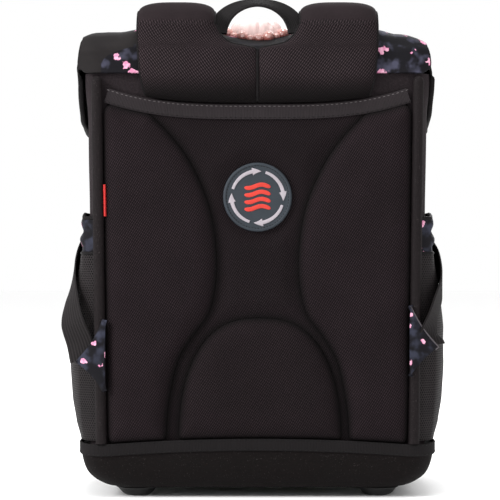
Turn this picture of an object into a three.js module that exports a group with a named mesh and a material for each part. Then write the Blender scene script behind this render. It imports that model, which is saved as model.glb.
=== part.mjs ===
// A school ransel: a stiff box-shaped schoolbag with a lid, a padded back, two side pockets and
// padded shoulder straps that are thrown forward over the lid. Millimetres, +Z up. The padded back
// faces -Y and the lid's clasp faces +Y. The feet stand on z = 0.
import * as THREE from "three";

// Driving dimensions of the box.
const bodyWidth = 288; // across the side walls, at the top
const bodyDepth = 192; // from the back wall to the front wall
const bodyTop = 352.6; // height of the open rim
const bodyTaper = 4; // how much narrower each side is at the base
const bodyWall = 4; // foam board under cloth
const bodyCorner = 14; // radius of the box's upright edges
const gap = 0.3; // between pieces that touch

// Driving dimensions of the base and its feet.
const baseTop = 46;
const baseHalfWidth = 147;
const baseProud = 6; // past the back and front walls
const baseWall = 4;
const baseCorner = 22;
const baseRound = 32; // how far the base curves in towards its flat underside
const footHeight = 7.4;
const footRadius = 16.5;
const footSpacing = 202; // from side to side
const footInset = 34; // from the base's back and front

// Driving dimensions of the back.
const panelThickness = 3;
const padThickness = 11;
const padRim = 10; // width of the rounded edge of a pad
const padHalfWidth = 126;
const lumbarHalfWidth = 67;
const lumbarHeight = 104;
const lumbarShift = 2; // the lumbar pad is sewn a little to the right
const rollRadius = 4.6;
const rollInset = 10.7; // of the roll's middle from the side wall
const tapeThickness = 1.4;
const yokeTapeWidth = 12.4;
const yokeTapeHeight = 323; // of its middle
const yokeTapeRise = 15; // of its ends
const baseTapeWidth = 10;
const baseTapeDip = 6; // towards the corners of the back
const badgeRadius = 28.4;
const badgeThickness = 3.2;
const badgeHeight = 249.8;
const tagLength = 26;
const tagHeight = 247;
const tagProud = 5;
const tagThickness = 1.6;

// Driving dimensions of the lid.
const flapThickness = 2.5;
const flapTop = 391; // height of its crest
const flapRearHeight = 353; // height of its rear seam
const flapFrontHeight = 172; // height of its front edge
const flapRearHalfWidth = 148;
const flapTopHalfWidth = 142;
const flapCurl = 9; // how far its side edges turn down
const flapSag = 9; // dip between the shoulder straps
const flapShift = -2.5; // the lid sits a little to the left
const wingDrop = 84; // from the crest to the lowest edge of the lid's sides
const wingFlare = 7; // how far the lid's sides swell past their edges
const wingStandOff = 4.4; // of their lower edge from the side wall
const claspWidth = 44;
const claspHeight = 40;
const claspThickness = 8;
const claspLift = 0.1; // of its middle over the lid's edge, as a share of its height

// Driving dimensions of the pockets.
const pocketBulge = 17.5;
const pocketTop = 241;
const pocketWall = 1.6;
const pocketRear = 9; // from the back wall
const pocketLength = 146;
const bandHeight = 38;

// Driving dimensions of the straps, webbing and handle.
const strapInner = 35.5; // from the middle to the strap's inner edge
const strapWidth = 63.5;
const strapThickness = 12.5;
const strapTop = 412.5; // height of the fold over the lid
const strapFoldRadius = 20;
const strapCrown = 2; // how far the fold's edges droop
const strapEndHeight = 262;
const strapEndWidth = 46;
const strapSpread = 30; // how far the lower ends stray outwards
const webbingWidth = 24;
const webbingThickness = 1.8;
const webbingLoop = 10; // how far the left webbing stands off the pocket at the back
const webbingRightLoop = 2;
const tabLength = 58;
const tabReach = 24;
const tabThickness = 3;
const tabHeight = 119; // of the left tab's middle
const tabRightLift = 12;
const buckleWidth = 34;
const buckleHeight = 36;
const buckleThickness = 5;
const buckleBar = 5;
const handleSpan = 66;
const handleTop = 413.5;
const handleRise = 26;
const handleWidth = 15;
const handleThickness = 2.8;

// Driving dimensions of the ornament.
const puffHalfWidth = 23;
const puffDepth = 34;
const puffHeight = 17;
const puffWall = 1.2;
const pearlRadius = 3.6;

// Places that follow from the sizes above.
const backWall = -bodyDepth / 2;
const frontWall = bodyDepth / 2;
const panelFace = backWall - gap - panelThickness;
const padSeat = panelFace - gap;
const ledge = baseTop + gap;
const flapRearFace = backWall - gap - flapThickness;
const flapFrontFace = frontWall + gap + flapThickness + 1.2;
const baseBack = backWall - baseProud;
const baseFront = frontWall + baseProud;

// Colours of the finishes.
const finish = {
  mesh: { color: 0x2b2627, roughness: 0.9 },
  cloth: { color: 0x262324, roughness: 0.85 },
  tape: { color: 0x2f2c2d, roughness: 0.8 },
  base: { color: 0x1e1b1c, roughness: 0.8 },
  print: { color: 0x34323a, roughness: 0.6 },
  plastic: { color: 0x141414, roughness: 0.45 },
  rubber: { color: 0x3d464d, roughness: 0.6 },
  red: { color: 0xd8251f, roughness: 0.7 },
  pearl: { color: 0xe8a0a0, roughness: 0.2 },
  organza: { color: 0xf3d3d6, roughness: 0.5 },
};

const point = (x, y, z) => new THREE.Vector3(x, y, z);
const mix = THREE.MathUtils.lerp;
const group = new THREE.Group();

// Adds a named mesh to the group.
function add(name, geometry, look) {
  const mesh = new THREE.Mesh(geometry, new THREE.MeshStandardMaterial({ metalness: 0, ...look }));
  mesh.name = name;
  group.add(mesh);
  return mesh;
}

// The normal of a closed ring of points.
function ringNormal(ring) {
  const normal = point(0, 0, 0);
  ring.forEach((p, i) => {
    const q = ring[(i + 1) % ring.length];
    normal.x += (p.y - q.y) * (p.z + q.z);
    normal.y += (p.z - q.z) * (p.x + q.x);
    normal.z += (p.x - q.x) * (p.y + q.y);
  });
  return normal.normalize();
}

// Triangles that fill a flat ring, facing along its normal.
function faceCap(ring) {
  const normal = ringNormal(ring);
  const across = ring[1].clone().sub(ring[0]).projectOnPlane(normal).normalize();
  const up = normal.clone().cross(across);
  const flat = ring.map((p) => new THREE.Vector2(p.dot(across), p.dot(up)));
  return THREE.ShapeUtils.triangulateShape(flat, []).map(([a, b, c]) => {
    const turn = flat[b].clone().sub(flat[a]).cross(flat[c].clone().sub(flat[a]));
    return turn > 0 ? [a, b, c] : [a, c, b];
  });
}

// Triangles that close a ring made of an outer row and then its inner row backwards.
function stripCap(ring) {
  const last = ring.length - 1;
  const faces = [];
  for (let j = 0; j < ring.length / 2 - 1; j++)
    faces.push([j, j + 1, last - j - 1], [j, last - j - 1, last - j]);
  return faces;
}

// A geometry from shared points and faces, turned so that it faces out.
function solid(points, faces) {
  let volume = 0;
  for (const [a, b, c] of faces) volume += points[a].dot(points[b].clone().cross(points[c]));
  const turned = volume < 0 ? faces.map(([a, b, c]) => [a, c, b]) : faces;
  const geometry = new THREE.BufferGeometry().setFromPoints(points);
  geometry.setIndex(turned.flat());
  geometry.computeVertexNormals();
  return geometry;
}

// A solid through rings of equally many points. Its ends are capped, or it closes on itself.
function loft(rings, cap = stripCap) {
  const count = rings[0].length;
  const spans = cap ? rings.length - 1 : rings.length;
  const faces = [];
  for (let i = 0; i < spans; i++) {
    const a = i * count;
    const b = ((i + 1) % rings.length) * count;
    for (let j = 0; j < count; j++) {
      const k = (j + 1) % count;
      faces.push([a + j, a + k, b + k], [a + j, b + k, b + j]);
    }
  }
  if (cap) {
    const end = (rings.length - 1) * count;
    for (const [a, b, c] of cap(rings[0])) faces.push([a, c, b]);
    for (const [a, b, c] of cap(rings.at(-1))) faces.push([a + end, b + end, c + end]);
  }
  return solid(rings.flat(), faces);
}

// A sheet of even thickness under a grid of points. side says which way the thickness goes.
function sheet(grid, thickness, side = 1) {
  const at = (list, i) => list[Math.max(0, Math.min(list.length - 1, i))];
  const rings = grid.map((row, i) => {
    const under = row.map((p, j) => {
      const along = at(grid, i + 1)[j].clone().sub(at(grid, i - 1)[j]);
      const across = at(row, j + 1).clone().sub(at(row, j - 1));
      return p.clone().addScaledVector(along.cross(across).normalize(), thickness * side);
    });
    return [...row, ...under.reverse()];
  });
  return loft(rings);
}

// A flat ribbon along points, each with the direction that its face looks.
function ribbon(path, width, thickness) {
  const rings = path.map(({ at, facing }, i) => {
    const before = path[Math.max(0, i - 1)].at;
    const after = path[Math.min(path.length - 1, i + 1)].at;
    const along = after.clone().sub(before).normalize();
    const normal = facing.clone().projectOnPlane(along).normalize();
    const side = along.clone().cross(normal);
    const corner = (s, n) =>
      at.clone().addScaledVector(side, (s * width) / 2).addScaledVector(normal, (n * thickness) / 2);
    return [corner(-1, -1), corner(1, -1), corner(1, 1), corner(-1, 1)];
  });
  return loft(rings);
}

// A smooth curve through rows of a table, taken at even steps.
function smooth(rows, columns, steps) {
  const curves = columns.map(
    (column) => new THREE.SplineCurve(rows.map((row, i) => new THREE.Vector2(i, row[column]))),
  );
  return Array.from({ length: steps + 1 }, (_, i) =>
    Object.fromEntries(columns.map((column, c) => [column, curves[c].getPoint(i / steps).y])),
  );
}

// A rounded rectangle at height z, the same number of points at every size.
function box(halfWidth, back, front, radius, z, steps = 3) {
  const corners = [
    [halfWidth - radius, front - radius, 0],
    [-halfWidth + radius, front - radius, 1],
    [-halfWidth + radius, back + radius, 2],
    [halfWidth - radius, back + radius, 3],
  ];
  return corners.flatMap(([x, y, quarter]) =>
    Array.from({ length: steps + 1 }, (_, i) => {
      const angle = ((quarter + i / steps) * Math.PI) / 2;
      return point(x + radius * Math.cos(angle), y + radius * Math.sin(angle), z);
    }),
  );
}

// Half of the box's width at a height.
function sideAt(z) {
  return bodyWidth / 2 - bodyTaper * (1 - (z - baseTop) / (bodyTop - baseTop));
}

// Stiff box of the bag, with no floor of its own.
function bodyShell() {
  const ring = (z, inset) =>
    box(sideAt(z) - inset, backWall + inset, frontWall - inset, bodyCorner - inset * 0.7, z);
  const heights = [0, 0.5, 1].map((share) => mix(ledge, bodyTop, share));
  return loft([...heights.map((z) => ring(z, 0)), ...heights.reverse().map((z) => ring(z, bodyWall))], null);
}

// Moulded base: a shallow tray with round sides, and a ledge that the walls and pockets stand on.
const baseRings = [
  { rise: 0, inset: 1 },
  { rise: 0.09, inset: 0.66 },
  { rise: 0.24, inset: 0.37 },
  { rise: 0.42, inset: 0.17 },
  { rise: 0.66, inset: 0.04 },
  { rise: 1, inset: 0 },
];
const baseFloor = footHeight + gap;
const baseDepthShare = 0.6; // the back and front curve in less than the sides

function baseRing(inset, z, wall) {
  const x = baseHalfWidth - inset * baseRound - wall;
  const y = inset * baseRound * baseDepthShare + wall;
  return box(x, baseBack + y, baseFront - y, baseCorner - wall / 2, z, 4);
}

function base() {
  const outer = baseRings.map(({ rise, inset }) => baseRing(inset, mix(baseFloor, baseTop, rise), 0));
  const lip = sideAt(ledge) - bodyWall;
  const lipBack = backWall + bodyWall;
  const lipRing = (z) =>
    box(lip - 1, lipBack + 1, frontWall - bodyWall - 1, bodyCorner - bodyWall, z, 4);
  const inner = baseRings.map(({ rise, inset }) => {
    const z = mix(baseFloor + baseWall, baseTop - baseWall, rise);
    return baseRing(inset, z, baseWall);
  });
  return loft([...outer, lipRing(baseTop), lipRing(baseTop - baseWall), ...inner.reverse()], faceCap);
}

// A rubber foot with a small flat tread.
function foot(x, y) {
  const profile = [
    [0, 0],
    [0.42, 0],
    [0.68, 0.12],
    [0.86, 0.42],
    [1, 1],
    [0, 1],
  ].map(([r, h]) => new THREE.Vector2(r * footRadius, h * footHeight));
  const turned = new THREE.LatheGeometry(profile, 14);
  turned.rotateX(Math.PI / 2);
  return turned.translate(x, y, 0);
}

// Height of the middle of the base tape at a place across the back.
function baseTapeMiddle(x, y) {
  const share = Math.min(1, Math.abs(x) / padHalfWidth);
  const onBack = y < backWall ? 1 : 0;
  const centre = baseTop + 2.8;
  return onBack ? centre - baseTapeDip * share * share : centre - baseTapeDip * 0.6;
}

// Tape round the seam between the base and what stands on it.
function baseTape() {
  const inside = box(baseHalfWidth + gap, baseBack - gap, baseFront + gap, baseCorner, 0, 4);
  const outside = box(
    baseHalfWidth + gap + tapeThickness,
    baseBack - gap - tapeThickness,
    baseFront + gap + tapeThickness,
    baseCorner + tapeThickness,
    0,
    4,
  );
  const rings = [];
  inside.forEach((inner, i) => {
    const outer = outside[i];
    const next = (i + 1) % inside.length;
    const straight = i % 5 === 4 ? 6 : 1;
    for (let step = 0; step < straight; step++) {
      const a = inner.clone().lerp(inside[next], step / straight);
      const b = outer.clone().lerp(outside[next], step / straight);
      const middle = baseTapeMiddle(a.x, a.y);
      const low = middle - baseTapeWidth / 2;
      const high = middle + baseTapeWidth / 2;
      rings.push([point(a.x, a.y, low), point(b.x, b.y, low), point(b.x, b.y, high), point(a.x, a.y, high)]);
    }
  });
  return loft(rings, null);
}

// Height of the yoke tape's middle at a place across the back.
function yokeTapeMiddle(x) {
  return yokeTapeHeight + yokeTapeRise * Math.pow(Math.min(1, Math.abs(x) / padHalfWidth), 3.2);
}

function yokeTape() {
  const y = padSeat - tapeThickness / 2;
  const half = padHalfWidth - 1;
  const path = Array.from({ length: 19 }, (_, i) => {
    const x = mix(-half, half, i / 18);
    return { at: point(x, y, yokeTapeMiddle(x)), facing: point(0, -1, 0) };
  });
  return ribbon(path, yokeTapeWidth, tapeThickness);
}

// A pad with a rounded rim on the back: its outline is given in x and z, and it grows towards -Y.
function pad(outline, seat, height, rim) {
  const flat = outline.map(([x, z]) => new THREE.Vector2(x, z));
  const turn = THREE.ShapeUtils.isClockWise(flat) ? -1 : 1;
  const inward = flat.map((p, i) => {
    const before = flat[(i + flat.length - 1) % flat.length];
    const after = flat[(i + 1) % flat.length];
    const a = p.clone().sub(before).normalize();
    const b = after.clone().sub(p).normalize();
    const miter = new THREE.Vector2(-a.y - b.y, a.x + b.x).multiplyScalar(turn).normalize();
    return miter.multiplyScalar(1 / Math.max(0.6, miter.dot(new THREE.Vector2(-a.y, a.x)) * turn));
  });
  const steps = [
    { up: 0, in: 0.1 },
    { up: 0.35, in: 0 },
    { up: 0.8, in: 0.3 },
    { up: 1, in: 1 },
  ];
  const rings = steps.map((step) =>
    flat.map((p, i) => {
      const moved = p.clone().addScaledVector(inward[i], step.in * rim);
      return point(moved.x, seat - step.up * height, moved.y);
    }),
  );
  return loft(rings, faceCap);
}

// Inner edge of a wing pad: rise is a share of the pad's height, reach of its half width.
const wingEdge = [
  { rise: 1, reach: 0.71 },
  { rise: 0.955, reach: 0.6 },
  { rise: 0.893, reach: 0.487 },
  { rise: 0.833, reach: 0.413 },
  { rise: 0.766, reach: 0.35 },
  { rise: 0.69, reach: 0.302 },
  { rise: 0.588, reach: 0.275 },
  { rise: 0.512, reach: 0.273 },
  { rise: 0.44, reach: 0.294 },
  { rise: 0.382, reach: 0.333 },
  { rise: 0.32, reach: 0.433 },
  { rise: 0.247, reach: 0.524 },
  { rise: 0.161, reach: 0.569 },
  { rise: 0.082, reach: 0.594 },
  { rise: 0, reach: 0.603 },
];

// Lowest and highest place of the pads at a place across the back.
const padBottom = (x) => baseTapeMiddle(x, baseBack) + baseTapeWidth / 2 + 0.4;
const padTop = (x) => yokeTapeMiddle(x) - yokeTapeWidth / 2 - 0.4;

function wingPad(side) {
  const edge = smooth(wingEdge, ["rise", "reach"], 22).map(({ rise, reach }) => {
    const x = reach * padHalfWidth;
    return [side * x, mix(padBottom(x), padTop(x), rise)];
  });
  const low = [0.75, 0.9, 0.985].map((share) => share * padHalfWidth).map((x) => [side * x, padBottom(x)]);
  const outer = [0.2, 0.4, 0.6, 0.8].map((rise) => {
    const x = padHalfWidth * (0.975 + 0.02 * Math.cos((rise - 1) * Math.PI));
    return [side * x, mix(padBottom(x), padTop(x), rise)];
  });
  const high = [0.985, 0.86].map((share) => share * padHalfWidth).map((x) => [side * x, padTop(x)]);
  return pad([...edge, ...low, ...outer, ...high], padSeat, padThickness, padRim);
}

function lumbarPad() {
  const arch = Array.from({ length: 21 }, (_, i) => {
    const angle = (i / 20) * Math.PI;
    const square = 0.75; // under 1 the arch has fuller shoulders
    const x = Math.sign(Math.cos(angle)) * Math.pow(Math.abs(Math.cos(angle)), square) * lumbarHalfWidth;
    return [x + lumbarShift, padBottom(x) + Math.pow(Math.sin(angle), 0.92) * lumbarHeight];
  });
  const low = [-0.5, 0, 0.5].map((share) => share * lumbarHalfWidth);
  return pad([...arch, ...low.map((x) => [x + lumbarShift, padBottom(x)])], padSeat, padThickness, padRim);
}

// Flat mesh panel behind the pads, from the ledge to the yoke tape's upper edge.
function backPanel() {
  const half = padHalfWidth - 1.5;
  const steps = Array.from({ length: 11 }, (_, i) => mix(-1, 1, i / 10) * half);
  const top = steps.map((x) => [x, yokeTapeMiddle(x) + yokeTapeWidth / 2 - 1]);
  const bottom = [-half, half].map((x) => [x, ledge + 1]);
  return pad([...top.reverse(), ...bottom], backWall - gap, panelThickness, 1.5);
}

// Padded roll down one rear edge of the box.
function edgeRoll(side) {
  const low = baseTapeMiddle(bodyWidth / 2, baseBack) + baseTapeWidth / 2 + gap;
  const high = flapRearHeight - 3;
  const rings = [0, 0.25, 0.5, 0.75, 1].map((share) => {
    const z = mix(low, high, share);
    const x = side * (sideAt(z) - rollInset);
    const y = backWall - gap - rollRadius;
    return Array.from({ length: 10 }, (_, i) => {
      const angle = (i / 10) * Math.PI * 2;
      return point(x + rollRadius * Math.cos(angle), y + rollRadius * Math.sin(angle), z);
    });
  });
  return loft(rings, faceCap);
}

// Round rubber badge on the back panel, with two raised rings.
function badge() {
  const seat = panelFace - gap;
  const profile = [
    [0, 0],
    [0.97, 0],
    [1, 0.35],
    [0.97, 0.9],
    [0.93, 1],
    [0.86, 1],
    [0.84, 0.78],
    [0, 0.78],
  ].map(([r, h]) => new THREE.Vector2(r * badgeRadius, h * badgeThickness));
  const turned = new THREE.LatheGeometry(profile, 28);
  return turned.rotateX(Math.PI).translate(0, seat, badgeHeight);
}

// Red tag that stands out of the seam beside the left wing pad.
function redTag() {
  const x = -(sideAt(tagHeight) - rollInset - rollRadius) + gap + tagThickness / 2;
  const y = panelFace - gap - tagProud / 2;
  return new THREE.BoxGeometry(tagThickness, tagProud, tagLength).translate(x, y, tagHeight);
}

// Side profile of the lid from its rear seam over the top to its front edge. along is a share of
// the depth from its rear face to its front face. up is a share of the height from the rear seam
// to the crest, or below the seam of the drop to the front edge. wide goes from the half width of
// the top at 0 to that of the rear seam at 1. curl is how much of the side curl a row has.
const flapProfile = [
  { along: 0, up: 0, wide: 1, curl: 1 },
  { along: 0, up: 0.3, wide: 0.7, curl: 1 },
  { along: 0.012, up: 0.6, wide: 0.4, curl: 1 },
  { along: 0.07, up: 0.86, wide: 0.1, curl: 1 },
  { along: 0.2, up: 0.98, wide: 0, curl: 1 },
  { along: 0.42, up: 1, wide: 0, curl: 1 },
  { along: 0.64, up: 0.98, wide: 0.05, curl: 1 },
  { along: 0.83, up: 0.89, wide: 0.1, curl: 0.9 },
  { along: 0.955, up: 0.66, wide: 0.15, curl: 0.7 },
  { along: 0.996, up: 0.25, wide: 0.2, curl: 0.4 },
  { along: 1, up: -0.16, wide: 0.2, curl: 0.2 },
  { along: 1, up: -0.5, wide: 0.1, curl: 0.15 },
  { along: 1, up: -0.78, wide: -0.1, curl: 0.15 },
  { along: 1, up: -1, wide: -0.3, curl: 0.15 },
];

const flapCurves = Object.fromEntries(
  ["along", "up", "wide", "curl"].map((column) => [
    column,
    new THREE.SplineCurve(flapProfile.map((row, i) => new THREE.Vector2(i, row[column]))),
  ]),
);

// Depth, height, half width and curl of the lid at a station from 0 at its rear seam to 1 at its front.
function flapAt(station) {
  const read = (column) => flapCurves[column].getPoint(station).y;
  const up = read("up");
  const scale = up > 0 ? flapTop - flapRearHeight : flapRearHeight - flapFrontHeight;
  return {
    y: mix(flapRearFace, flapFrontFace, Math.max(0, read("along"))),
    z: flapRearHeight + up * scale,
    half: mix(flapTopHalfWidth, flapRearHalfWidth, read("wide")),
    curl: flapCurl * read("curl"),
  };
}

// The direction in side view in which the lid runs at a station: (y, z), of length 1.
function flapRun(station) {
  const before = flapAt(Math.max(0, station - 0.01));
  const after = flapAt(Math.min(1, station + 0.01));
  return new THREE.Vector2(after.y - before.y, after.z - before.z).normalize();
}

// The station at which a measure that grows along the lid reaches a value.
function flapStation(measure, low = 0, high = 1) {
  for (let i = 0; i < 40; i++) {
    const middle = (low + high) / 2;
    if (measure(flapAt(middle)) < 0) low = middle;
    else high = middle;
  }
  return low;
}

// Dip of the lid's top between the shoulder straps.
function sagAt(x, z) {
  const onTop = THREE.MathUtils.smoothstep(z, mix(flapRearHeight, flapTop, 0.4), flapTop - 3);
  return flapSag * onTop * Math.exp(-Math.pow(x / strapInner, 2));
}

// Height of the lid's outer face over a place on its top.
const flapCrest = 0.42;
function lidHeight(x, y) {
  const { z } = flapAt(flapStation((at) => at.y - y, 0.05, flapCrest * 1.3));
  return z - sagAt(x, z);
}

const flapColumns = [-1, -0.97, -0.85, -0.6, -0.36, -0.24, -0.12, 0, 0.12, 0.24, 0.36, 0.6, 0.85, 0.97, 1];

// A point of the lid's outer face: station along it, share of its half width across it, and how
// far under the face.
function flapPoint(station, share, under = 0) {
  const { y, z, half, curl } = flapAt(station);
  const run = flapRun(station);
  const down = curl * Math.pow(Math.max(0, (Math.abs(share) - 0.85) / 0.15), 2.2) + under;
  const x = flapShift + half * share;
  return point(x, y + run.y * down, z - run.x * down - sagAt(x, z));
}

function flapPanel() {
  const stations = Array.from({ length: 22 }, (_, i) => i / 21);
  const grid = stations.map((station) => flapColumns.map((share) => flapPoint(station, share)));
  return sheet(grid, flapThickness);
}

// Side of the lid, from the seam under the lid's edge down to a free lower edge. station places
// the seam. back and low place the lower edge, as shares of the lid's depth and of the wing's drop.
const wingRows = [
  { station: 0.07, back: 0.068, low: 0.5 },
  { station: 0.13, back: 0.075, low: 0.55 },
  { station: 0.19, back: 0.1, low: 0.66 },
  { station: 0.27, back: 0.18, low: 0.82 },
  { station: 0.35, back: 0.33, low: 0.94 },
  { station: 0.43, back: 0.5, low: 0.99 },
  { station: 0.5, back: 0.68, low: 1 },
  { station: 0.56, back: 0.82, low: 1 },
  { station: 0.62, back: 0.93, low: 1 },
];
const wingThickness = 1.8;
const wingUnder = 2.4; // of the wing's seam under the lid's edge

function flapSide(side) {
  const rows = smooth(wingRows, ["station", "back", "low"], 14);
  const grid = rows.map(({ station, back, low }) => {
    const top = flapPoint(station, side, gap + wingUnder);
    const z = flapTop - low * wingDrop;
    const y = mix(flapRearFace + 1, flapFrontFace - 8, back);
    const bottom = point(side * (sideAt(z) + wingStandOff) + flapShift * 0.5, y, z);
    const flare = wingFlare * THREE.MathUtils.smoothstep(back, -0.1, 0.4);
    return [0, 0.25, 0.5, 0.75, 1].map((share) => {
      const p = top.clone().lerp(bottom, share);
      p.x += side * flare * Math.sin(Math.PI * share);
      return p;
    });
  });
  return sheet(grid, wingThickness, side);
}

// A rounded plate in the plane of x and z, with a bevelled edge and with slots.
function roundedPlate(width, height, radius, thickness, slots = []) {
  const outline = (shape, w, h, r, up = 0) => {
    shape.absarc(w / 2 - r, up - h / 2 + r, r, -Math.PI / 2, 0, false);
    shape.absarc(w / 2 - r, up + h / 2 - r, r, 0, Math.PI / 2, false);
    shape.absarc(-w / 2 + r, up + h / 2 - r, r, Math.PI / 2, Math.PI, false);
    shape.absarc(-w / 2 + r, up - h / 2 + r, r, Math.PI, Math.PI * 1.5, false);
    shape.closePath();
    return shape;
  };
  const shape = outline(new THREE.Shape(), width, height, radius);
  for (const slot of slots) shape.holes.push(outline(new THREE.Path(), slot.width, slot.height, 1, slot.up));
  const bevel = Math.min(0.8, thickness / 4);
  const plate = new THREE.ExtrudeGeometry(shape, {
    depth: thickness - 2 * bevel,
    bevelThickness: bevel,
    bevelSize: bevel,
    bevelOffset: -bevel,
    bevelSegments: 1,
    curveSegments: 2,
  });
  return plate.translate(0, 0, bevel - thickness / 2).rotateX(Math.PI / 2);
}

// Plain clasp plate over the lid's front edge.
function flapClasp() {
  const plate = roundedPlate(claspWidth, claspHeight, 8, claspThickness);
  const y = flapFrontFace + gap + claspThickness / 2;
  return plate.translate(flapShift, y, flapFrontHeight + claspHeight * claspLift);
}

// How far a side pocket stands out at a share of its height, as a share of the bulge.
const pocketBottom = baseTapeMiddle(bodyWidth / 2, 0) + baseTapeWidth / 2 + 2 * gap;
const pocketSwell = [
  { rise: 0, swell: 0.4 },
  { rise: 0.07, swell: 0.62 },
  { rise: 0.17, swell: 0.76 },
  { rise: 0.32, swell: 0.93 },
  { rise: 0.48, swell: 1 },
  { rise: 0.66, swell: 0.84 },
  { rise: 0.8, swell: 0.56 },
  { rise: 1, swell: 0.44 },
];

// A value that runs smoothly through a column of a table with a rising column of its own.
function readTable(rows, key, column, value) {
  const next = Math.max(1, rows.findIndex((row) => row[key] >= value - 1e-9));
  const from = rows[next - 1];
  const to = rows[next];
  const part = THREE.MathUtils.smoothstep(value, from[key], to[key]);
  return mix(from[column], to[column], mix((value - from[key]) / (to[key] - from[key]), part, 0.3));
}

// Distance of a side pocket's outer face from the side wall, at a height and depth.
function pocketReach(z, y) {
  const rise = THREE.MathUtils.clamp((z - pocketBottom) / (pocketTop - pocketBottom), 0, 1);
  const along = THREE.MathUtils.clamp((y - backWall - pocketRear) / pocketLength, 0, 1);
  const swell = pocketBulge * readTable(pocketSwell, "rise", "swell", rise);
  return gap + pocketWall + swell * Math.pow(Math.sin(Math.PI * mix(0.02, 0.98, along)), 0.5);
}

// Part of a side pocket between two heights, as shares of the pocket's height.
const pocketColumns = [0, 0.03, 0.09, 0.2, 0.35, 0.5, 0.65, 0.8, 0.91, 0.97, 1];

function pocketPart(side, low, high, rows) {
  const grid = Array.from({ length: rows + 1 }, (_, i) => {
    const z = mix(pocketBottom, pocketTop, mix(low, high, i / rows));
    return pocketColumns.map((along) => {
      const y = backWall + pocketRear + along * pocketLength;
      return point(side * (sideAt(z) + pocketReach(z, y)), y, z);
    });
  });
  return sheet(grid, pocketWall, -side);
}

// A section of a strap: its middle, the ways it runs and faces, and its size.
const strapShares = [-1, -0.93, -0.75, -0.35, 0.35, 0.75, 0.93, 1];
const strapRound = (share) => Math.sqrt(Math.max(0, 1 - Math.pow(Math.abs(share), 3.2)));

function strapRing({ at, along, facing, width, thickness, crown = 0 }) {
  const across = along.clone().cross(facing).normalize();
  const corner = (share, face) => {
    const lift = (face * thickness * strapRound(share)) / 2 + crown * (strapRound(share) - 1);
    return at.clone().addScaledVector(across, (share * width) / 2).addScaledVector(facing, lift);
  };
  const upper = strapShares.map((share) => corner(share, 1));
  const lower = strapShares.slice(1, -1).reverse().map((share) => corner(share, -1));
  return [...upper, ...lower];
}

// The strap's rear part, which is half of the yoke and then parts from the other strap. rise is a
// share of the height from the yoke's seam to the fold. off is the clearance from the back wall
// and thick the thickness, as shares of the strap's. inner and outer place its edges.
const strapBack = [
  { rise: 0, off: 0.04, thick: 0.4, inner: 0.01, outer: 0.935 },
  { rise: 0.05, off: 0.05, thick: 0.85, inner: 0.01, outer: 0.945 },
  { rise: 0.18, off: 0.16, thick: 1.02, inner: 0.01, outer: 0.965 },
  { rise: 0.3, off: 0.29, thick: 1.05, inner: 0.01, outer: 0.98 },
  { rise: 0.5, off: 0.3, thick: 1.05, inner: 0.01, outer: 0.995 },
  { rise: 0.54, off: 0.3, thick: 1.04, inner: 0.2, outer: 0.997 },
  { rise: 0.58, off: 0.3, thick: 1.03, inner: 0.62, outer: 1 },
  { rise: 0.66, off: 0.3, thick: 1.02, inner: 0.86, outer: 1 },
  { rise: 0.76, off: 0.3, thick: 1, inner: 0.97, outer: 1 },
];
const yokeSeat = yokeTapeHeight + yokeTapeWidth / 2 + 1.4;
const strapBackDepth = 0.3; // clearance of the fold's rear from the back wall, as a share
const strapMiddle = strapInner + strapWidth / 2;

// The rear sections, in side view.
function strapRearSections(side) {
  return strapBack.map((row) => {
    const inner = Math.max(gap, row.inner * strapInner);
    const outer = row.outer * (strapInner + strapWidth);
    const thickness = strapThickness * row.thick;
    const y = backWall - gap - row.off * strapThickness - thickness / 2;
    const at = point((side * (inner + outer)) / 2, y, mix(yokeSeat, strapTop, row.rise));
    return { at, width: outer - inner, thickness, seam: row.rise < 0.25 ? 1 - row.rise / 0.25 : 0 };
  });
}

// The sections of the fold at the top of the back.
function strapFoldSections(side) {
  const y = backWall - gap - strapBackDepth * strapThickness - strapThickness / 2 + strapFoldRadius;
  const z = strapTop - strapFoldRadius - strapThickness / 2;
  return [20, 42, 64, 86].map((degrees) => {
    const angle = THREE.MathUtils.degToRad(degrees);
    const back = y - strapFoldRadius * Math.cos(angle);
    const at = point(side * strapMiddle, back, z + strapFoldRadius * Math.sin(angle));
    return { at, width: strapWidth, thickness: strapThickness, crown: strapCrown, seam: 0 };
  });
}

// The sections that lie on the lid, down to the strap's lower end.
function strapLidSections(side) {
  const start = flapStation((at) => at.y - (backWall + strapFoldRadius * 2.2), 0.05, flapCrest * 1.3);
  const end = flapStation((at) => strapEndHeight - at.z, 0.6, 1);
  const steps = 11;
  return Array.from({ length: steps + 1 }, (_, i) => {
    const share = i / steps;
    const station = mix(start, end, share);
    const { y, z } = flapAt(station);
    const run = flapRun(station);
    const thickness = strapThickness * mix(1, 0.65, share);
    const lift = thickness / 2 + 4 * gap;
    const x = side * (strapMiddle + strapSpread * Math.pow(share, 2.5));
    const width = mix(strapWidth, strapEndWidth, Math.pow(share, 1.5));
    return { at: point(x, y - run.y * lift, z + run.x * lift), width, thickness, seam: 0 };
  });
}

function shoulderStrap(side) {
  const sections = [...strapRearSections(side), ...strapFoldSections(side), ...strapLidSections(side)];
  const rings = sections.map((section, i) => {
    const before = sections[Math.max(0, i - 1)].at;
    const after = sections[Math.min(sections.length - 1, i + 1)].at;
    const straight = i < strapBack.length;
    const along = after.clone().sub(before);
    if (straight) along.x = 0;
    along.normalize();
    const facing = point(0, -along.z, along.y).normalize();
    return strapRing({ ...section, along, facing }).map((p) => {
      p.z += section.seam * (yokeTapeMiddle(p.x) - yokeTapeHeight);
      return p;
    });
  });
  return loft(rings, faceCap);
}

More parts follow.
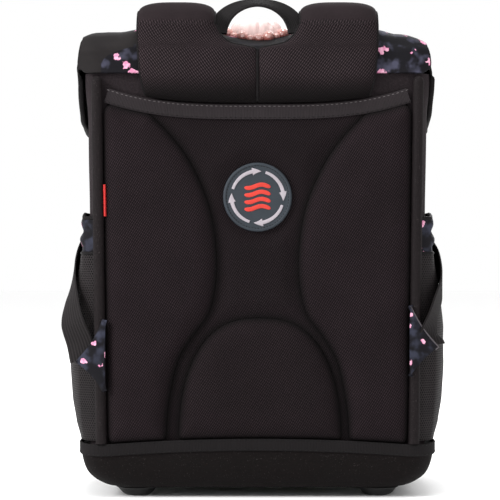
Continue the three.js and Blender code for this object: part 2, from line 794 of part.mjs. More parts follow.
// Place of a strap buckle: its middle, and how far the strap leans outwards there.
function buckleAt(side) {
  const [before, end] = strapLidSections(side).slice(-2);
  const run = end.at.clone().sub(before.at);
  const lean = Math.atan2(run.x, -run.z);
  const down = gap + buckleHeight / 2 + 0.4;
  const at = end.at.clone().add(point(Math.sin(lean) * down, 0, -Math.cos(lean) * down));
  return { at, lean };
}

// Ladder-lock buckle at the lower end of a strap: a plate with two slots.
function strapBuckle(side) {
  const { at, lean } = buckleAt(side);
  const slot = { width: buckleWidth - 2 * buckleBar, height: (buckleHeight - 3 * buckleBar) / 2 };
  const offset = (slot.height + buckleBar) / 2;
  const plate = roundedPlate(buckleWidth, buckleHeight, 4, buckleThickness, [
    { ...slot, up: offset },
    { ...slot, up: -offset },
  ]);
  return plate.rotateY(-lean).translate(at.x, at.y, at.z);
}

// Triangle of print fabric over a rear edge, which holds the webbing.
const tabMiddle = (side) => tabHeight + (side > 0 ? tabRightLift : 0);
const tabLean = 10; // degrees that its tip points forward
const tabTip = -0.09; // height of its tip from its middle, as a share of its length

function webbingTab(side) {
  const shape = new THREE.Shape();
  shape.moveTo(0, tabLength / 2);
  shape.lineTo(0, -tabLength / 2);
  shape.lineTo(side * tabReach, tabTip * tabLength - 1);
  shape.lineTo(side * tabReach, tabTip * tabLength + 1);
  const plate = new THREE.ExtrudeGeometry(shape, { depth: tabThickness, bevelEnabled: false });
  plate.translate(0, 0, -tabThickness / 2).rotateX(Math.PI / 2);
  plate.rotateZ(THREE.MathUtils.degToRad(side * tabLean));
  const root = side * (sideAt(tabHeight) - rollInset - rollRadius + 0.4);
  return plate.translate(root, tabFace + tabThickness / 2, tabMiddle(side));
}
const tabFace = backWall - gap * 2 - 2 * rollRadius - tabThickness - 0.8;

// Route of a webbing from its tab round the side of the pocket. off is a share of the loop by
// which it stands off the pocket, along of the body's depth, up of the rise to the side's height.
const webbingRoute = [
  { off: 0.05, along: -0.022, up: 0.02, turn: 10 },
  { off: 0.5, along: -0.012, up: 0.17, turn: 20 },
  { off: 0.95, along: 0, up: 0.38, turn: 45 },
  { off: 0.75, along: 0.09, up: 0.62, turn: 75 },
  { off: 0.3, along: 0.24, up: 0.85, turn: 90 },
  { off: 0, along: 0.42, up: 0.98, turn: 90 },
  { off: 0.05, along: 0.55, up: 1.01, turn: 90 },
  { off: 0.1, along: 0.68, up: 1.03, turn: 90 },
  { off: 0.15, along: 0.76, up: 1.03, turn: 92 },
  { off: 0.1, along: 0.86, up: 1.02, turn: 94 },
  { off: 0.1, along: 0.98, up: 1, turn: 125 },
];
const webbingSideHeight = 203;

// The stretch on the lid's front: out is a share of the way from the buckle to the side wall,
// drop of the height from the buckle's middle to the side's height.
const webbingFront = [
  { out: 1, drop: 1 },
  { out: 0.74, drop: 1.03 },
  { out: 0.46, drop: 0.98 },
  { out: 0.25, drop: 0.8 },
  { out: 0.12, drop: 0.5 },
  { out: 0, drop: 0 },
];

function webbing(side) {
  const loop = side < 0 ? webbingLoop : webbingRightLoop;
  const buckle = buckleAt(side);
  const lockY = buckle.at.y - buckleThickness / 2 - 2 * gap - webbingThickness / 2;
  const low = tabMiddle(side) + tabTip * tabLength;
  const turned = (degrees) => {
    const angle = THREE.MathUtils.degToRad(degrees);
    return point(side * Math.sin(angle), -Math.cos(angle), 0);
  };
  const path = webbingRoute.map(({ off, along, up, turn }) => {
    const z = mix(low, webbingSideHeight, up);
    const y = mix(backWall, frontWall, along);
    const reach = Math.max(...[-0.5, 0, 0.5].map((share) => pocketReach(z + share * webbingWidth, y)));
    const x = sideAt(z) + reach + 5 * gap + webbingThickness / 2 + off * loop;
    return { at: point(side * x, y, z), facing: turned(turn) };
  });
  for (const { out, drop } of webbingFront) {
    const z = mix(buckle.at.z, webbingSideHeight, drop);
    const x = mix(Math.abs(buckle.at.x), sideAt(z), out);
    path.push({ at: point(side * x, lockY, z), facing: turned(180) });
  }
  const route = new THREE.CatmullRomCurve3(path.map(({ at }) => at), false, "centripetal");
  const faces = new THREE.CatmullRomCurve3(path.map(({ facing }) => facing));
  const steps = 42;
  const fine = Array.from({ length: steps + 1 }, (_, i) => ({
    at: route.getPoint(i / steps),
    facing: faces.getPoint(i / steps),
  }));
  return ribbon(fine, webbingWidth, webbingThickness);
}

// Carry handle: a webbing arch that faces up at its crown and back at its legs.
function carryHandle() {
  const path = Array.from({ length: 19 }, (_, i) => {
    const share = mix(-1, 1, i / 18);
    const angle = (share * Math.PI) / 2;
    const turn = (THREE.MathUtils.smoothstep(Math.abs(share), 0.1, 0.8) * Math.PI) / 2;
    const x = (handleSpan / 2) * Math.sin(angle);
    const z = handleTop - handleThickness / 2 - handleRise * (1 - Math.cos(angle));
    const y = mix(handleCrownDepth, handleLegDepth, Math.pow(Math.abs(share), 3));
    return { at: point(x, y, z), facing: point(0, -Math.sin(turn), Math.cos(turn)) };
  });
  return ribbon(path, handleWidth, handleThickness);
}
const handleCrownDepth = backWall + 8;
const handleLegDepth = backWall + 2.4;

// Organza puff under the handle: a gathered dome with a hollow inside, open underneath.
const puffAt = { x: -1, y: backWall + 44 };
const puffFolds = [
  { at: -0.45, deep: 0.1 },
  { at: 0.12, deep: 0.16 },
  { at: 0.5, deep: 0.12 },
];

function puffPoint(angle, rise, inset = 0) {
  const outward = Math.pow(Math.cos((rise * Math.PI) / 2), 0.6);
  const x = puffAt.x + (puffHalfWidth - inset) * Math.cos(angle) * outward;
  const y = puffAt.y + (puffDepth / 2 - inset) * Math.sin(angle) * outward;
  const seat = lidHeight(x, y) + 3 * gap;
  let up = Math.sin((rise * Math.PI) / 2);
  for (const fold of puffFolds) {
    const off = ((x - puffAt.x) / puffHalfWidth - fold.at) / 0.07;
    up -= fold.deep * Math.exp(-off * off) * Math.sin(rise * Math.PI);
  }
  return point(x, y, seat + (puffHeight - inset * Math.min(1, rise * 8)) * up);
}

function organzaPuff() {
  const around = 20;
  const ring = (rise, inset) =>
    Array.from({ length: around }, (_, i) => puffPoint((i / around) * Math.PI * 2, rise, inset));
  const rises = [0, 0.3, 0.55, 0.75, 0.92];
  const outer = rises.map((rise) => ring(rise, 0));
  const inner = rises.map((rise) => ring(rise, puffWall));
  return loft([...inner.reverse(), ...outer], faceCap);
}

// Pearls along the rear of the puff, from left to right: size is a share of the pearl's radius,
// out and up are how far each strays from the row, as shares of it too.
const pearls = [
  { size: 0.8, out: 0.2, up: 0.3 },
  { size: 0.75, out: 0, up: 0 },
  { size: 1.15, out: 0.1, up: 0 },
  { size: 0.75, out: 0.4, up: 0.4 },
  { size: 1.1, out: 0, up: 0 },
  { size: 0.8, out: 0.3, up: 0.5 },
  { size: 1, out: 0, up: 0 },
  { size: 1.2, out: 0.2, up: 0 },
  { size: 0.75, out: 0.4, up: 0.6 },
  { size: 1.2, out: 0, up: 0 },
  { size: 0.85, out: 0.4, up: 0.5 },
  { size: 1.05, out: 0, up: 0 },
  { size: 0.9, out: 0.2, up: 0.2 },
];
const pearlStart = -188; // degrees round the puff

function pearlPlaces() {
  let angle = THREE.MathUtils.degToRad(pearlStart);
  let last = 0;
  return pearls.map(({ size, out, up }) => {
    const radius = pearlRadius * size;
    const reach = radius + gap + out * pearlRadius;
    const a = puffHalfWidth + reach;
    const b = puffDepth / 2 + reach;
    if (last) angle += (last + radius + gap) / Math.hypot(a * Math.sin(angle), b * Math.cos(angle)) / 0.97;
    last = radius;
    const x = puffAt.x + a * Math.cos(angle);
    const y = puffAt.y + b * Math.sin(angle);
    return { at: point(x, y, lidHeight(x, y) + radius + 2 * gap + up * pearlRadius * 0.15), radius };
  });
}

function pearl({ at, radius }) {
  return new THREE.SphereGeometry(radius, 10, 6).rotateX(Math.PI / 2).translate(at.x, at.y, at.z);
}

add("body_shell", bodyShell(), finish.cloth);
add("base", base(), finish.base);
for (const [row, y] of [["rear", baseBack + footInset], ["front", baseFront - footInset]])
  for (const [side, sign] of [["left", -1], ["right", 1]])
    add(`foot_${row}_${side}`, foot((sign * footSpacing) / 2, y), finish.plastic);
add("base_tape", baseTape(), finish.tape);
add("back_panel", backPanel(), finish.mesh);
add("yoke_tape", yokeTape(), finish.tape);
add("lumbar_pad", lumbarPad(), finish.mesh);
add("badge", badge(), finish.rubber);
add("red_tag", redTag(), finish.red);
add("flap_panel", flapPanel(), finish.print);
add("flap_clasp", flapClasp(), finish.plastic);
add("carry_handle", carryHandle(), finish.cloth);
add("organza_puff", organzaPuff(), finish.organza);
pearlPlaces().forEach((place, i) => {
  add(`pearl_${String(i + 1).padStart(2, "0")}`, pearl(place), finish.pearl);
});

const bandLow = 1 - bandHeight / (pocketTop - pocketBottom);
const bandGap = gap / (pocketTop - pocketBottom);
for (const [name, side] of [["left", -1], ["right", 1]]) {
  add(`edge_roll_${name}`, edgeRoll(side), finish.cloth);
  add(`wing_pad_${name}`, wingPad(side), finish.mesh);
  add(`flap_side_${name}`, flapSide(side), finish.cloth);
  add(`side_pocket_${name}`, pocketPart(side, 0, bandLow - bandGap, 10), finish.mesh);
  add(`pocket_band_${name}`, pocketPart(side, bandLow, 1, 4), finish.print);
  add(`shoulder_strap_${name}`, shoulderStrap(side), finish.mesh);
  add(`strap_buckle_${name}`, strapBuckle(side), finish.plastic);
  add(`webbing_tab_${name}`, webbingTab(side), finish.print);
  add(`webbing_${name}`, webbing(side), finish.tape);
}

// The origin is the middle of the whole bag's footprint, on the floor.
const extent = new THREE.Box3().setFromObject(group);
const centre = extent.getCenter(point(0, 0, 0));
group.position.set(-centre.x, -centre.y, 0);

export default group;
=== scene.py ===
"""A school ransel with a padded back, side pockets and straps thrown over its lid.

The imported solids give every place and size. Each piece here is the cloth, pad, tape or fitting
that a maker would sew or mould at that place, seen from the wearer's side of the bag.
"""
import logging
import math
from dataclasses import dataclass, field
from enum import Enum
from typing import Any, Optional, Sequence, Union

import bmesh
import bpy
import numpy as np
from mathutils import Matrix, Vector
from mathutils.geometry import delaunay_2d_cdt


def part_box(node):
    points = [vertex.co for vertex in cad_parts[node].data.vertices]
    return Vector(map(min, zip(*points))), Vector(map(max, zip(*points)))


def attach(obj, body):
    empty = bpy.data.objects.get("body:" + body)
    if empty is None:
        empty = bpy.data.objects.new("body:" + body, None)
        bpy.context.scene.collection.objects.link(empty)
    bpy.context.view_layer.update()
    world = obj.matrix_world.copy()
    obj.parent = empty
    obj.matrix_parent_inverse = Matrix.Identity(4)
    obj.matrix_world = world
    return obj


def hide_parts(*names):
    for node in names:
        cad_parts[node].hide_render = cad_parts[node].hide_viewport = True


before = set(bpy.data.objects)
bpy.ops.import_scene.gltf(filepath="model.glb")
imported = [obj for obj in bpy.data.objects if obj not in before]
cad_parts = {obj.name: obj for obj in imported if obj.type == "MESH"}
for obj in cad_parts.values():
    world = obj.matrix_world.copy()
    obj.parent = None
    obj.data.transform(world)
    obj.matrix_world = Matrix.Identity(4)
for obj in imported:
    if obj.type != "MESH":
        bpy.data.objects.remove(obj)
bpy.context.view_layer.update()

logging.basicConfig(level=logging.INFO, format="%(message)s")
log = logging.getLogger("ransel")

MM = 0.001
TAU = math.tau
Array = np.ndarray
Colour = tuple[float, float, float]


class Side(Enum):
    """The two sides of the bag, as the viewer behind it sees them."""

    LEFT = -1
    RIGHT = 1

    @property
    def word(self) -> str:
        """The side's name in a piece's name."""
        return self.name.lower()


class Map(Enum):
    """Where a cloth's pattern is measured: on the flat cloth, or in the bag's own space."""

    FLAT = "flat"
    SPACE = "space"


def colour(red: float, green: float, blue: float) -> Colour:
    """Turns a colour given from 0 to 255 into the linear values that shaders use.

    Args:
        red: red as shown on a screen.
        green: green as shown on a screen.
        blue: blue as shown on a screen.

    Returns:
        The three linear values.
    """
    def linear(shown: float) -> float:
        """One linear value."""
        share = shown / 255
        return share / 12.92 if share <= 0.04045 else ((share + 0.055) / 1.055) ** 2.4

    return linear(red), linear(green), linear(blue)


# Numbers and curves.


def mix(low: Any, high: Any, share: Any) -> Any:
    """The value at a share of the way from low to high."""
    return low + (high - low) * share


def smoothstep(value: Any, low: float, high: float) -> Any:
    """A share that eases from 0 at low to 1 at high."""
    share = np.clip((value - low) / (high - low), 0, 1)
    return share * share * (3 - 2 * share)


def spline(rows: Array, count: int) -> Array:
    """Runs a smooth curve through rows of numbers, at even steps.

    Args:
        rows: one row of numbers for each point of the curve.
        count: how many points the finer curve has.

    Returns:
        The finer rows.
    """
    rows = np.asarray(rows, float)
    return np.array([spline_at(rows, share) for share in np.linspace(0, 1, count)])


def spline_at(rows: Array, share: float) -> Array:
    """One point of the smooth curve through rows.

    Args:
        rows: one row of numbers for each point of the curve.
        share: how far along the rows the point lies, from 0 to 1.

    Returns:
        The point's numbers.
    """
    last = len(rows) - 1
    place = min(max(share, 0), 1) * last
    low = min(int(place), last - 1)
    part = place - low
    before, start = rows[max(0, low - 1)], rows[low]
    end, after = rows[low + 1], rows[min(last, low + 2)]
    pull, push = (end - before) / 2, (after - start) / 2
    cube, square = part ** 3, part ** 2
    return (
        (2 * start - 2 * end + pull + push) * cube
        + (-3 * start + 3 * end - 2 * pull - push) * square
        + pull * part
        + start
    )


def even_path(path: Array, facing: Array, step: float, closed: bool = False) -> tuple[Array, Array]:
    """Places points at even distances along a path.

    Args:
        path: the path's points.
        facing: the direction that each point's face looks.
        step: distance between the new points.
        closed: whether the path runs back to its start.

    Returns:
        The new points and their directions.
    """
    if closed:
        path, facing = np.vstack([path, path[:1]]), np.vstack([facing, facing[:1]])
    along = np.concatenate([[0], np.cumsum(np.linalg.norm(np.diff(path, axis=0), axis=1))])
    count = max(2, round(along[-1] / step) + 1)
    at = np.linspace(0, along[-1], count)
    found = [np.stack([np.interp(at, along, part[:, i]) for i in range(3)], 1) for part in (path, facing)]
    return (found[0][:-1], found[1][:-1]) if closed else (found[0], found[1])


def centripetal(points: Array, count: int) -> Array:
    """A smooth curve through points that doesn't swing out at uneven distances.

    Args:
        points: the points that the curve passes.
        count: how many points the finer curve has.

    Returns:
        The finer points.
    """
    points = np.asarray(points, float)
    ends = np.vstack([2 * points[0] - points[1], points, 2 * points[-1] - points[-2]])
    out = []
    for share in np.linspace(0, 1, count):
        place = share * (len(points) - 1)
        low = min(int(place), len(points) - 2)
        part = place - low
        four = ends[low:low + 4]
        d0, d1, d2 = (max(1e-4, np.linalg.norm(four[i + 1] - four[i]) ** 0.5) for i in range(3))
        pull = ((four[1] - four[0]) / d0 - (four[2] - four[0]) / (d0 + d1) + (four[2] - four[1]) / d1) * d1
        push = ((four[2] - four[1]) / d1 - (four[3] - four[1]) / (d1 + d2) + (four[3] - four[2]) / d2) * d1
        cube, square = part ** 3, part ** 2
        out.append(
            (2 * four[1] - 2 * four[2] + pull + push) * cube
            + (-3 * four[1] + 3 * four[2] - 2 * pull - push) * square
            + pull * part
            + four[1]
        )
    return np.array(out)


def ripple(place: Array, length: float, seed: int) -> Array:
    """A soft uneven wave from -1 to 1 along a measure.

    Args:
        place: where the wave is read, in millimetres.
        length: length of its main wave.
        seed: number that settles its phases.

    Returns:
        The wave's values.
    """
    draw = np.random.default_rng(seed)
    total = np.zeros_like(np.asarray(place, float))
    for share, weight in ((1, 0.5), (1.73, 0.3), (2.9, 0.2)):
        total = total + weight * np.sin(place * TAU * share / length + draw.uniform(0, TAU))
    return total


# Surfaces.


@dataclass
class Surface:
    """Points, faces and flat corner measures of a mesh, in millimetres from the bag's middle.

    Attributes:
        points: places of the points.
        faces: the point numbers of each face.
        flats: for each corner of each face, its place on the flat cloth.
        recess: for each point, how much painted shade darkens its colour, from 0 to 1.
    """

    points: list[tuple[float, float, float]] = field(default_factory=list)
    faces: list[tuple[int, ...]] = field(default_factory=list)
    flats: list[tuple[float, float]] = field(default_factory=list)
    recess: Optional[Array] = None

    def grid(self, rows: Array, around: bool = False, closed: bool = False,
             flats: Optional[Array] = None) -> "Surface":
        """Adds quads over a grid of points.

        Args:
            rows: the points, as rows of columns.
            around: whether each row closes on itself.
            closed: whether the last row joins the first.
            flats: places on the flat cloth, with one more row or column where it closes.

        Returns:
            This surface.
        """
        count, width = rows.shape[:2]
        first = len(self.points)
        self.points.extend(map(tuple, rows.reshape(-1, 3)))
        flats = measure(rows, around, closed) if flats is None else flats
        for i in range(count if closed else count - 1):
            for j in range(width if around else width - 1):
                spots = ((i, j), (i, j + 1), (i + 1, j + 1), (i + 1, j))
                self.faces.append(tuple(first + (a % count) * width + b % width for a, b in spots))
                self.flats.extend((float(flats[a, b, 0]), float(flats[a, b, 1])) for a, b in spots)
        return self

    def lid(self, ring: Sequence[int], apex: Optional[Array] = None) -> "Surface":
        """Closes a ring of points with one face, or with a fan to an apex.

        Args:
            ring: the numbers of the ring's points.
            apex: the fan's middle.

        Returns:
            This surface.
        """
        if apex is None:
            self.faces.append(tuple(ring))
            self.flats.extend((self.points[i][0], self.points[i][2]) for i in ring)
            return self
        self.points.append(tuple(apex))
        tip = len(self.points) - 1
        for i, start in enumerate(ring):
            corners = (start, ring[(i + 1) % len(ring)], tip)
            self.faces.append(corners)
            self.flats.extend((self.points[k][0], self.points[k][2]) for k in corners)
        return self

    def join(self, other: "Surface") -> "Surface":
        """Adds another surface's points and faces.

        Args:
            other: the other surface.

        Returns:
            This surface.
        """
        first = len(self.points)
        self.points.extend(other.points)
        self.faces.extend(tuple(first + i for i in face) for face in other.faces)
        self.flats.extend(other.flats)
        return self


def measure(rows: Array, around: bool, closed: bool) -> Array:
    """Measures a grid's flat cloth: across it from the row's start, and along it.

    Args:
        rows: the points, as rows of columns.
        around: whether each row closes on itself.
        closed: whether the last row joins the first.

    Returns:
        Two measures for each grid point, with one more row or column where it closes.
    """
    if around:
        rows = np.concatenate([rows, rows[:, :1]], 1)
    if closed:
        rows = np.concatenate([rows, rows[:1]], 0)
    across = np.linalg.norm(np.diff(rows, axis=1), axis=2)
    across = np.concatenate([np.zeros((len(rows), 1)), np.cumsum(across, 1)], 1)
    across = across - across[:, -1:] / 2
    along = np.linalg.norm(np.diff(rows, axis=0), axis=2).mean(1)
    along = np.concatenate([[0], np.cumsum(along)])
    return np.stack([across, np.repeat(along[:, None], rows.shape[1], 1)], 2)


def cloth_sheet(rows: Array, thickness: float, side: float = 1) -> Surface:
    """A sheet of even thickness on a grid of points, closed round its edges.

    Args:
        rows: points of one face, as rows of columns.
        thickness: of the sheet.
        side: 1 or -1, the way the thickness goes from the grid.

    Returns:
        The closed surface.
    """
    along = np.gradient(rows, axis=0)
    across = np.gradient(rows, axis=1)
    normal = np.cross(along, across)
    normal /= np.maximum(np.linalg.norm(normal, axis=2, keepdims=True), 1e-9)
    other = rows + normal * thickness * side
    flats = measure(rows, False, False)
    rim = mix(rows, other, 0.5)
    soft = thickness * 0.25
    outward = np.zeros_like(rows)
    outward[:, 0] = -across[:, 0]
    outward[:, -1] = across[:, -1]
    outward[0] -= along[0]
    outward[-1] += along[-1]
    length = np.linalg.norm(outward, axis=2, keepdims=True)
    rim = rim + np.where(length > 1e-9, outward / np.maximum(length, 1e-9), 0) * soft
    surface = Surface().grid(rows, flats=flats)
    back = len(surface.points)
    surface.grid(other[:, ::-1], flats=flats[:, ::-1])
    height, width = rows.shape[:2]
    front_ring = (
        [j for j in range(width)]
        + [i * width + width - 1 for i in range(1, height)]
        + [(height - 1) * width + j for j in range(width - 2, -1, -1)]
        + [i * width for i in range(height - 2, 0, -1)]
    )
    spots = [(k // width, k % width) for k in front_ring]
    middle = len(surface.points)
    surface.points.extend(tuple(rim[i, j]) for i, j in spots)
    count = len(front_ring)
    for k in range(count):
        n = (k + 1) % count
        (i, j), (a, b) = spots[k], spots[n]
        back_k, back_n = back + i * width + width - 1 - j, back + a * width + width - 1 - b
        for corners in (
            (front_ring[k], middle + k, middle + n, front_ring[n]),
            (middle + k, back_k, back_n, middle + n),
        ):
            surface.faces.append(corners)
            surface.flats.extend(
                (float(flats[p[0], p[1], 0]), float(flats[p[0], p[1], 1]))
                for p in ((i, j), (i, j), (a, b), (a, b))
            )
    return surface


def closed_rings(rows: Array, first: Optional[Array] = None, last: Optional[Array] = None,
                 flats: Optional[Array] = None) -> Surface:
    """Joins a row of rings to one closed surface.

    Args:
        rows: the rings, one row of points each.
        first: middle of the fan that closes the first ring, or none for a flat face.
        last: middle of the fan that closes the last ring, or none for a flat face.
        flats: places on the flat cloth, or none to measure them.

    Returns:
        The closed surface.
    """
    width, tail = rows.shape[1], (len(rows) - 1) * rows.shape[1]
    surface = Surface().grid(rows, around=True, flats=flats)
    return surface.lid(range(width), first).lid(range(tail, tail + width), last)


def sweep(path: Array, facing: Array, sections: Array, closed: bool = False,
          flats: Optional[Array] = None, along: Optional[Array] = None) -> Surface:
    """Runs a closed section along a path.

    Args:
        path: points of the path.
        facing: the direction that the section's upper side looks, at each point.
        sections: the section's points (across, up), one list or one for each path point.
        closed: whether the path runs back to its start.
        flats: places on the flat cloth, or none to measure them.
        along: the way each section faces along the path, or none to work it out.

    Returns:
        The closed surface.
    """
    path, facing = np.asarray(path, float), np.asarray(facing, float)
    if along is None:
        before, after = np.roll(path, 1, 0), np.roll(path, -1, 0)
        if not closed:
            before[0], after[-1] = path[0], path[-1]
        along = after - before
    along = along / np.linalg.norm(along, axis=1, keepdims=True)
    up = facing - along * np.sum(facing * along, 1, keepdims=True)
    up /= np.linalg.norm(up, axis=1, keepdims=True)
    across = np.cross(along, up)
    sections = np.asarray(sections, float)
    if sections.ndim == 2:
        sections = np.repeat(sections[None], len(path), 0)
    rows = path[:, None] + across[:, None] * sections[..., :1] + up[:, None] * sections[..., 1:]
    if closed:
        return Surface().grid(rows, around=True, closed=True, flats=flats)
    return closed_rings(rows, flats=flats)


def oval(width: float, height: float, count: int, square: float = 2.0) -> Array:
    """A closed section of an oval, fuller at its corners where square is over 2.

    Args:
        width: across the section.
        height: of the section.
        count: number of its points.
        square: power of the oval's curve.

    Returns:
        Points (across, up).
    """
    angle = np.arange(count) / count * TAU
    cosine, sine = np.cos(angle), np.sin(angle)
    across = np.sign(cosine) * np.abs(cosine) ** (2 / square)
    up = np.sign(sine) * np.abs(sine) ** (2 / square)
    return np.stack([across * width / 2, up * height / 2], 1)


def ribbed_band(width: float, thickness: float, ribs: int, depth: float) -> Array:
    """Section of a woven band with ribs along its length.

    Args:
        width: of the band.
        thickness: of the band at its ribs.
        ribs: number of ribs on each face.
        depth: of the channels between the ribs.

    Returns:
        Points (across, up).
    """
    share = np.linspace(-1, 1, ribs * 4 + 1)[1:-1]
    top = thickness / 2 - depth * 0.5 * (1 + np.cos((share + 1) * ribs * math.pi))
    upper = np.stack([share * width / 2, top], 1)
    lower = np.stack([share[::-1] * width / 2, -top[::-1]], 1)
    edge = width / 2 + thickness * 0.12
    return np.vstack([[(-edge, 0)], upper, [(edge, 0)], lower])


def stitch_row(path: Array, facing: Array, across: float, pitch: float = 4.0, length: float = 2.5,
               radius: float = 0.32, lift: float = 0.0, closed: bool = False) -> Surface:
    """A row of thread stitches that lie on a surface beside a path.

    Args:
        path: points of the path.
        facing: the surface's outward direction at each point.
        across: how far to the side of the path the row runs.
        pitch: from one stitch to the next.
        length: of a stitch.
        radius: of the thread.
        lift: of the thread's middle over the path.
        closed: whether the path runs back to its start.

    Returns:
        The stitches.
    """
    spots, looks = even_path(path, facing, pitch, closed)
    ahead = np.roll(spots, -1, 0) - np.roll(spots, 1, 0)
    if not closed:
        ahead[0], ahead[-1] = spots[1] - spots[0], spots[-1] - spots[-2]
    surface = Surface()
    shares = ((-0.5, 0.25), (-0.36, 0.85), (0, 1.0), (0.36, 0.85), (0.5, 0.25))
    ring = oval(2, 2, 6)
    for at, look, run in zip(spots, looks, ahead):
        run = run / np.linalg.norm(run)
        up = look - run * np.dot(look, run)
        up /= np.linalg.norm(up)
        beside = np.cross(run, up)
        middle = at + beside * across + up * lift
        rows = np.array([
            [middle + run * share * length + (beside * a + up * b) * radius * wide
             - up * radius * 0.5 * abs(share * 2) ** 3 for a, b in ring]
            for share, wide in shares
        ])
        first = len(surface.points)
        surface.grid(rows, around=True)
        surface.lid(range(first, first + 6)).lid(range(first + 24, first + 30))
    return surface


# Finishes.


@dataclass(frozen=True)
class Value:
    """A number in a material. Arithmetic on it adds Math nodes.

    Attributes:
        tree: the material that it is part of.
        socket: the node's output.
    """

    tree: "Dye"
    socket: bpy.types.NodeSocket

    def math(self, operation: str, *others: "Amount") -> "Value":
        """The result of a Math node on this number and others."""
        node = self.tree.node("ShaderNodeMath", {"operation": operation}, dict(enumerate((self, *others))))
        return Value(self.tree, node.outputs[0])

    def __add__(self, other: "Amount") -> "Value":
        """This number plus another."""
        return self.math("ADD", other)

    __radd__ = __add__

    def __sub__(self, other: "Amount") -> "Value":
        """This number less another."""
        return self.math("SUBTRACT", other)

    def __rsub__(self, other: "Amount") -> "Value":
        """Another number less this one."""
        return (self * -1) + other

    def __mul__(self, other: "Amount") -> "Value":
        """This number times another."""
        return self.math("MULTIPLY", other)

    __rmul__ = __mul__

    def __truediv__(self, other: "Amount") -> "Value":
        """This number divided by another."""
        return self.math("DIVIDE", other)

    def __pow__(self, power: "Amount") -> "Value":
        """This number to a power."""
        return self.math("POWER", power)

    def wave(self, length: float) -> "Value":
        """A sine wave from 0 to 1 over this measure, of a wave length."""
        return (self * (TAU / length)).math("SINE") * 0.5 + 0.5

    def step(self, low: float, high: float) -> "Value":
        """Eases from 0 where this number is low to 1 where it is high.

        Args:
            low: where it is 0.
            high: where it is 1, above or below low.

        Returns:
            The eased number.
        """
        flip = low > high
        inputs = {"Value": self, "From Min": min(low, high), "From Max": max(low, high)}
        node = self.tree.node("ShaderNodeMapRange", {"interpolation_type": "SMOOTHSTEP"}, inputs)
        eased = Value(self.tree, node.outputs["Result"])
        return 1 - eased if flip else eased

    def over(self, edge: "Amount") -> "Value":
        """1 where this number is over an edge, otherwise 0."""
        return self.math("GREATER_THAN", edge)


Amount = Union[Value, float]


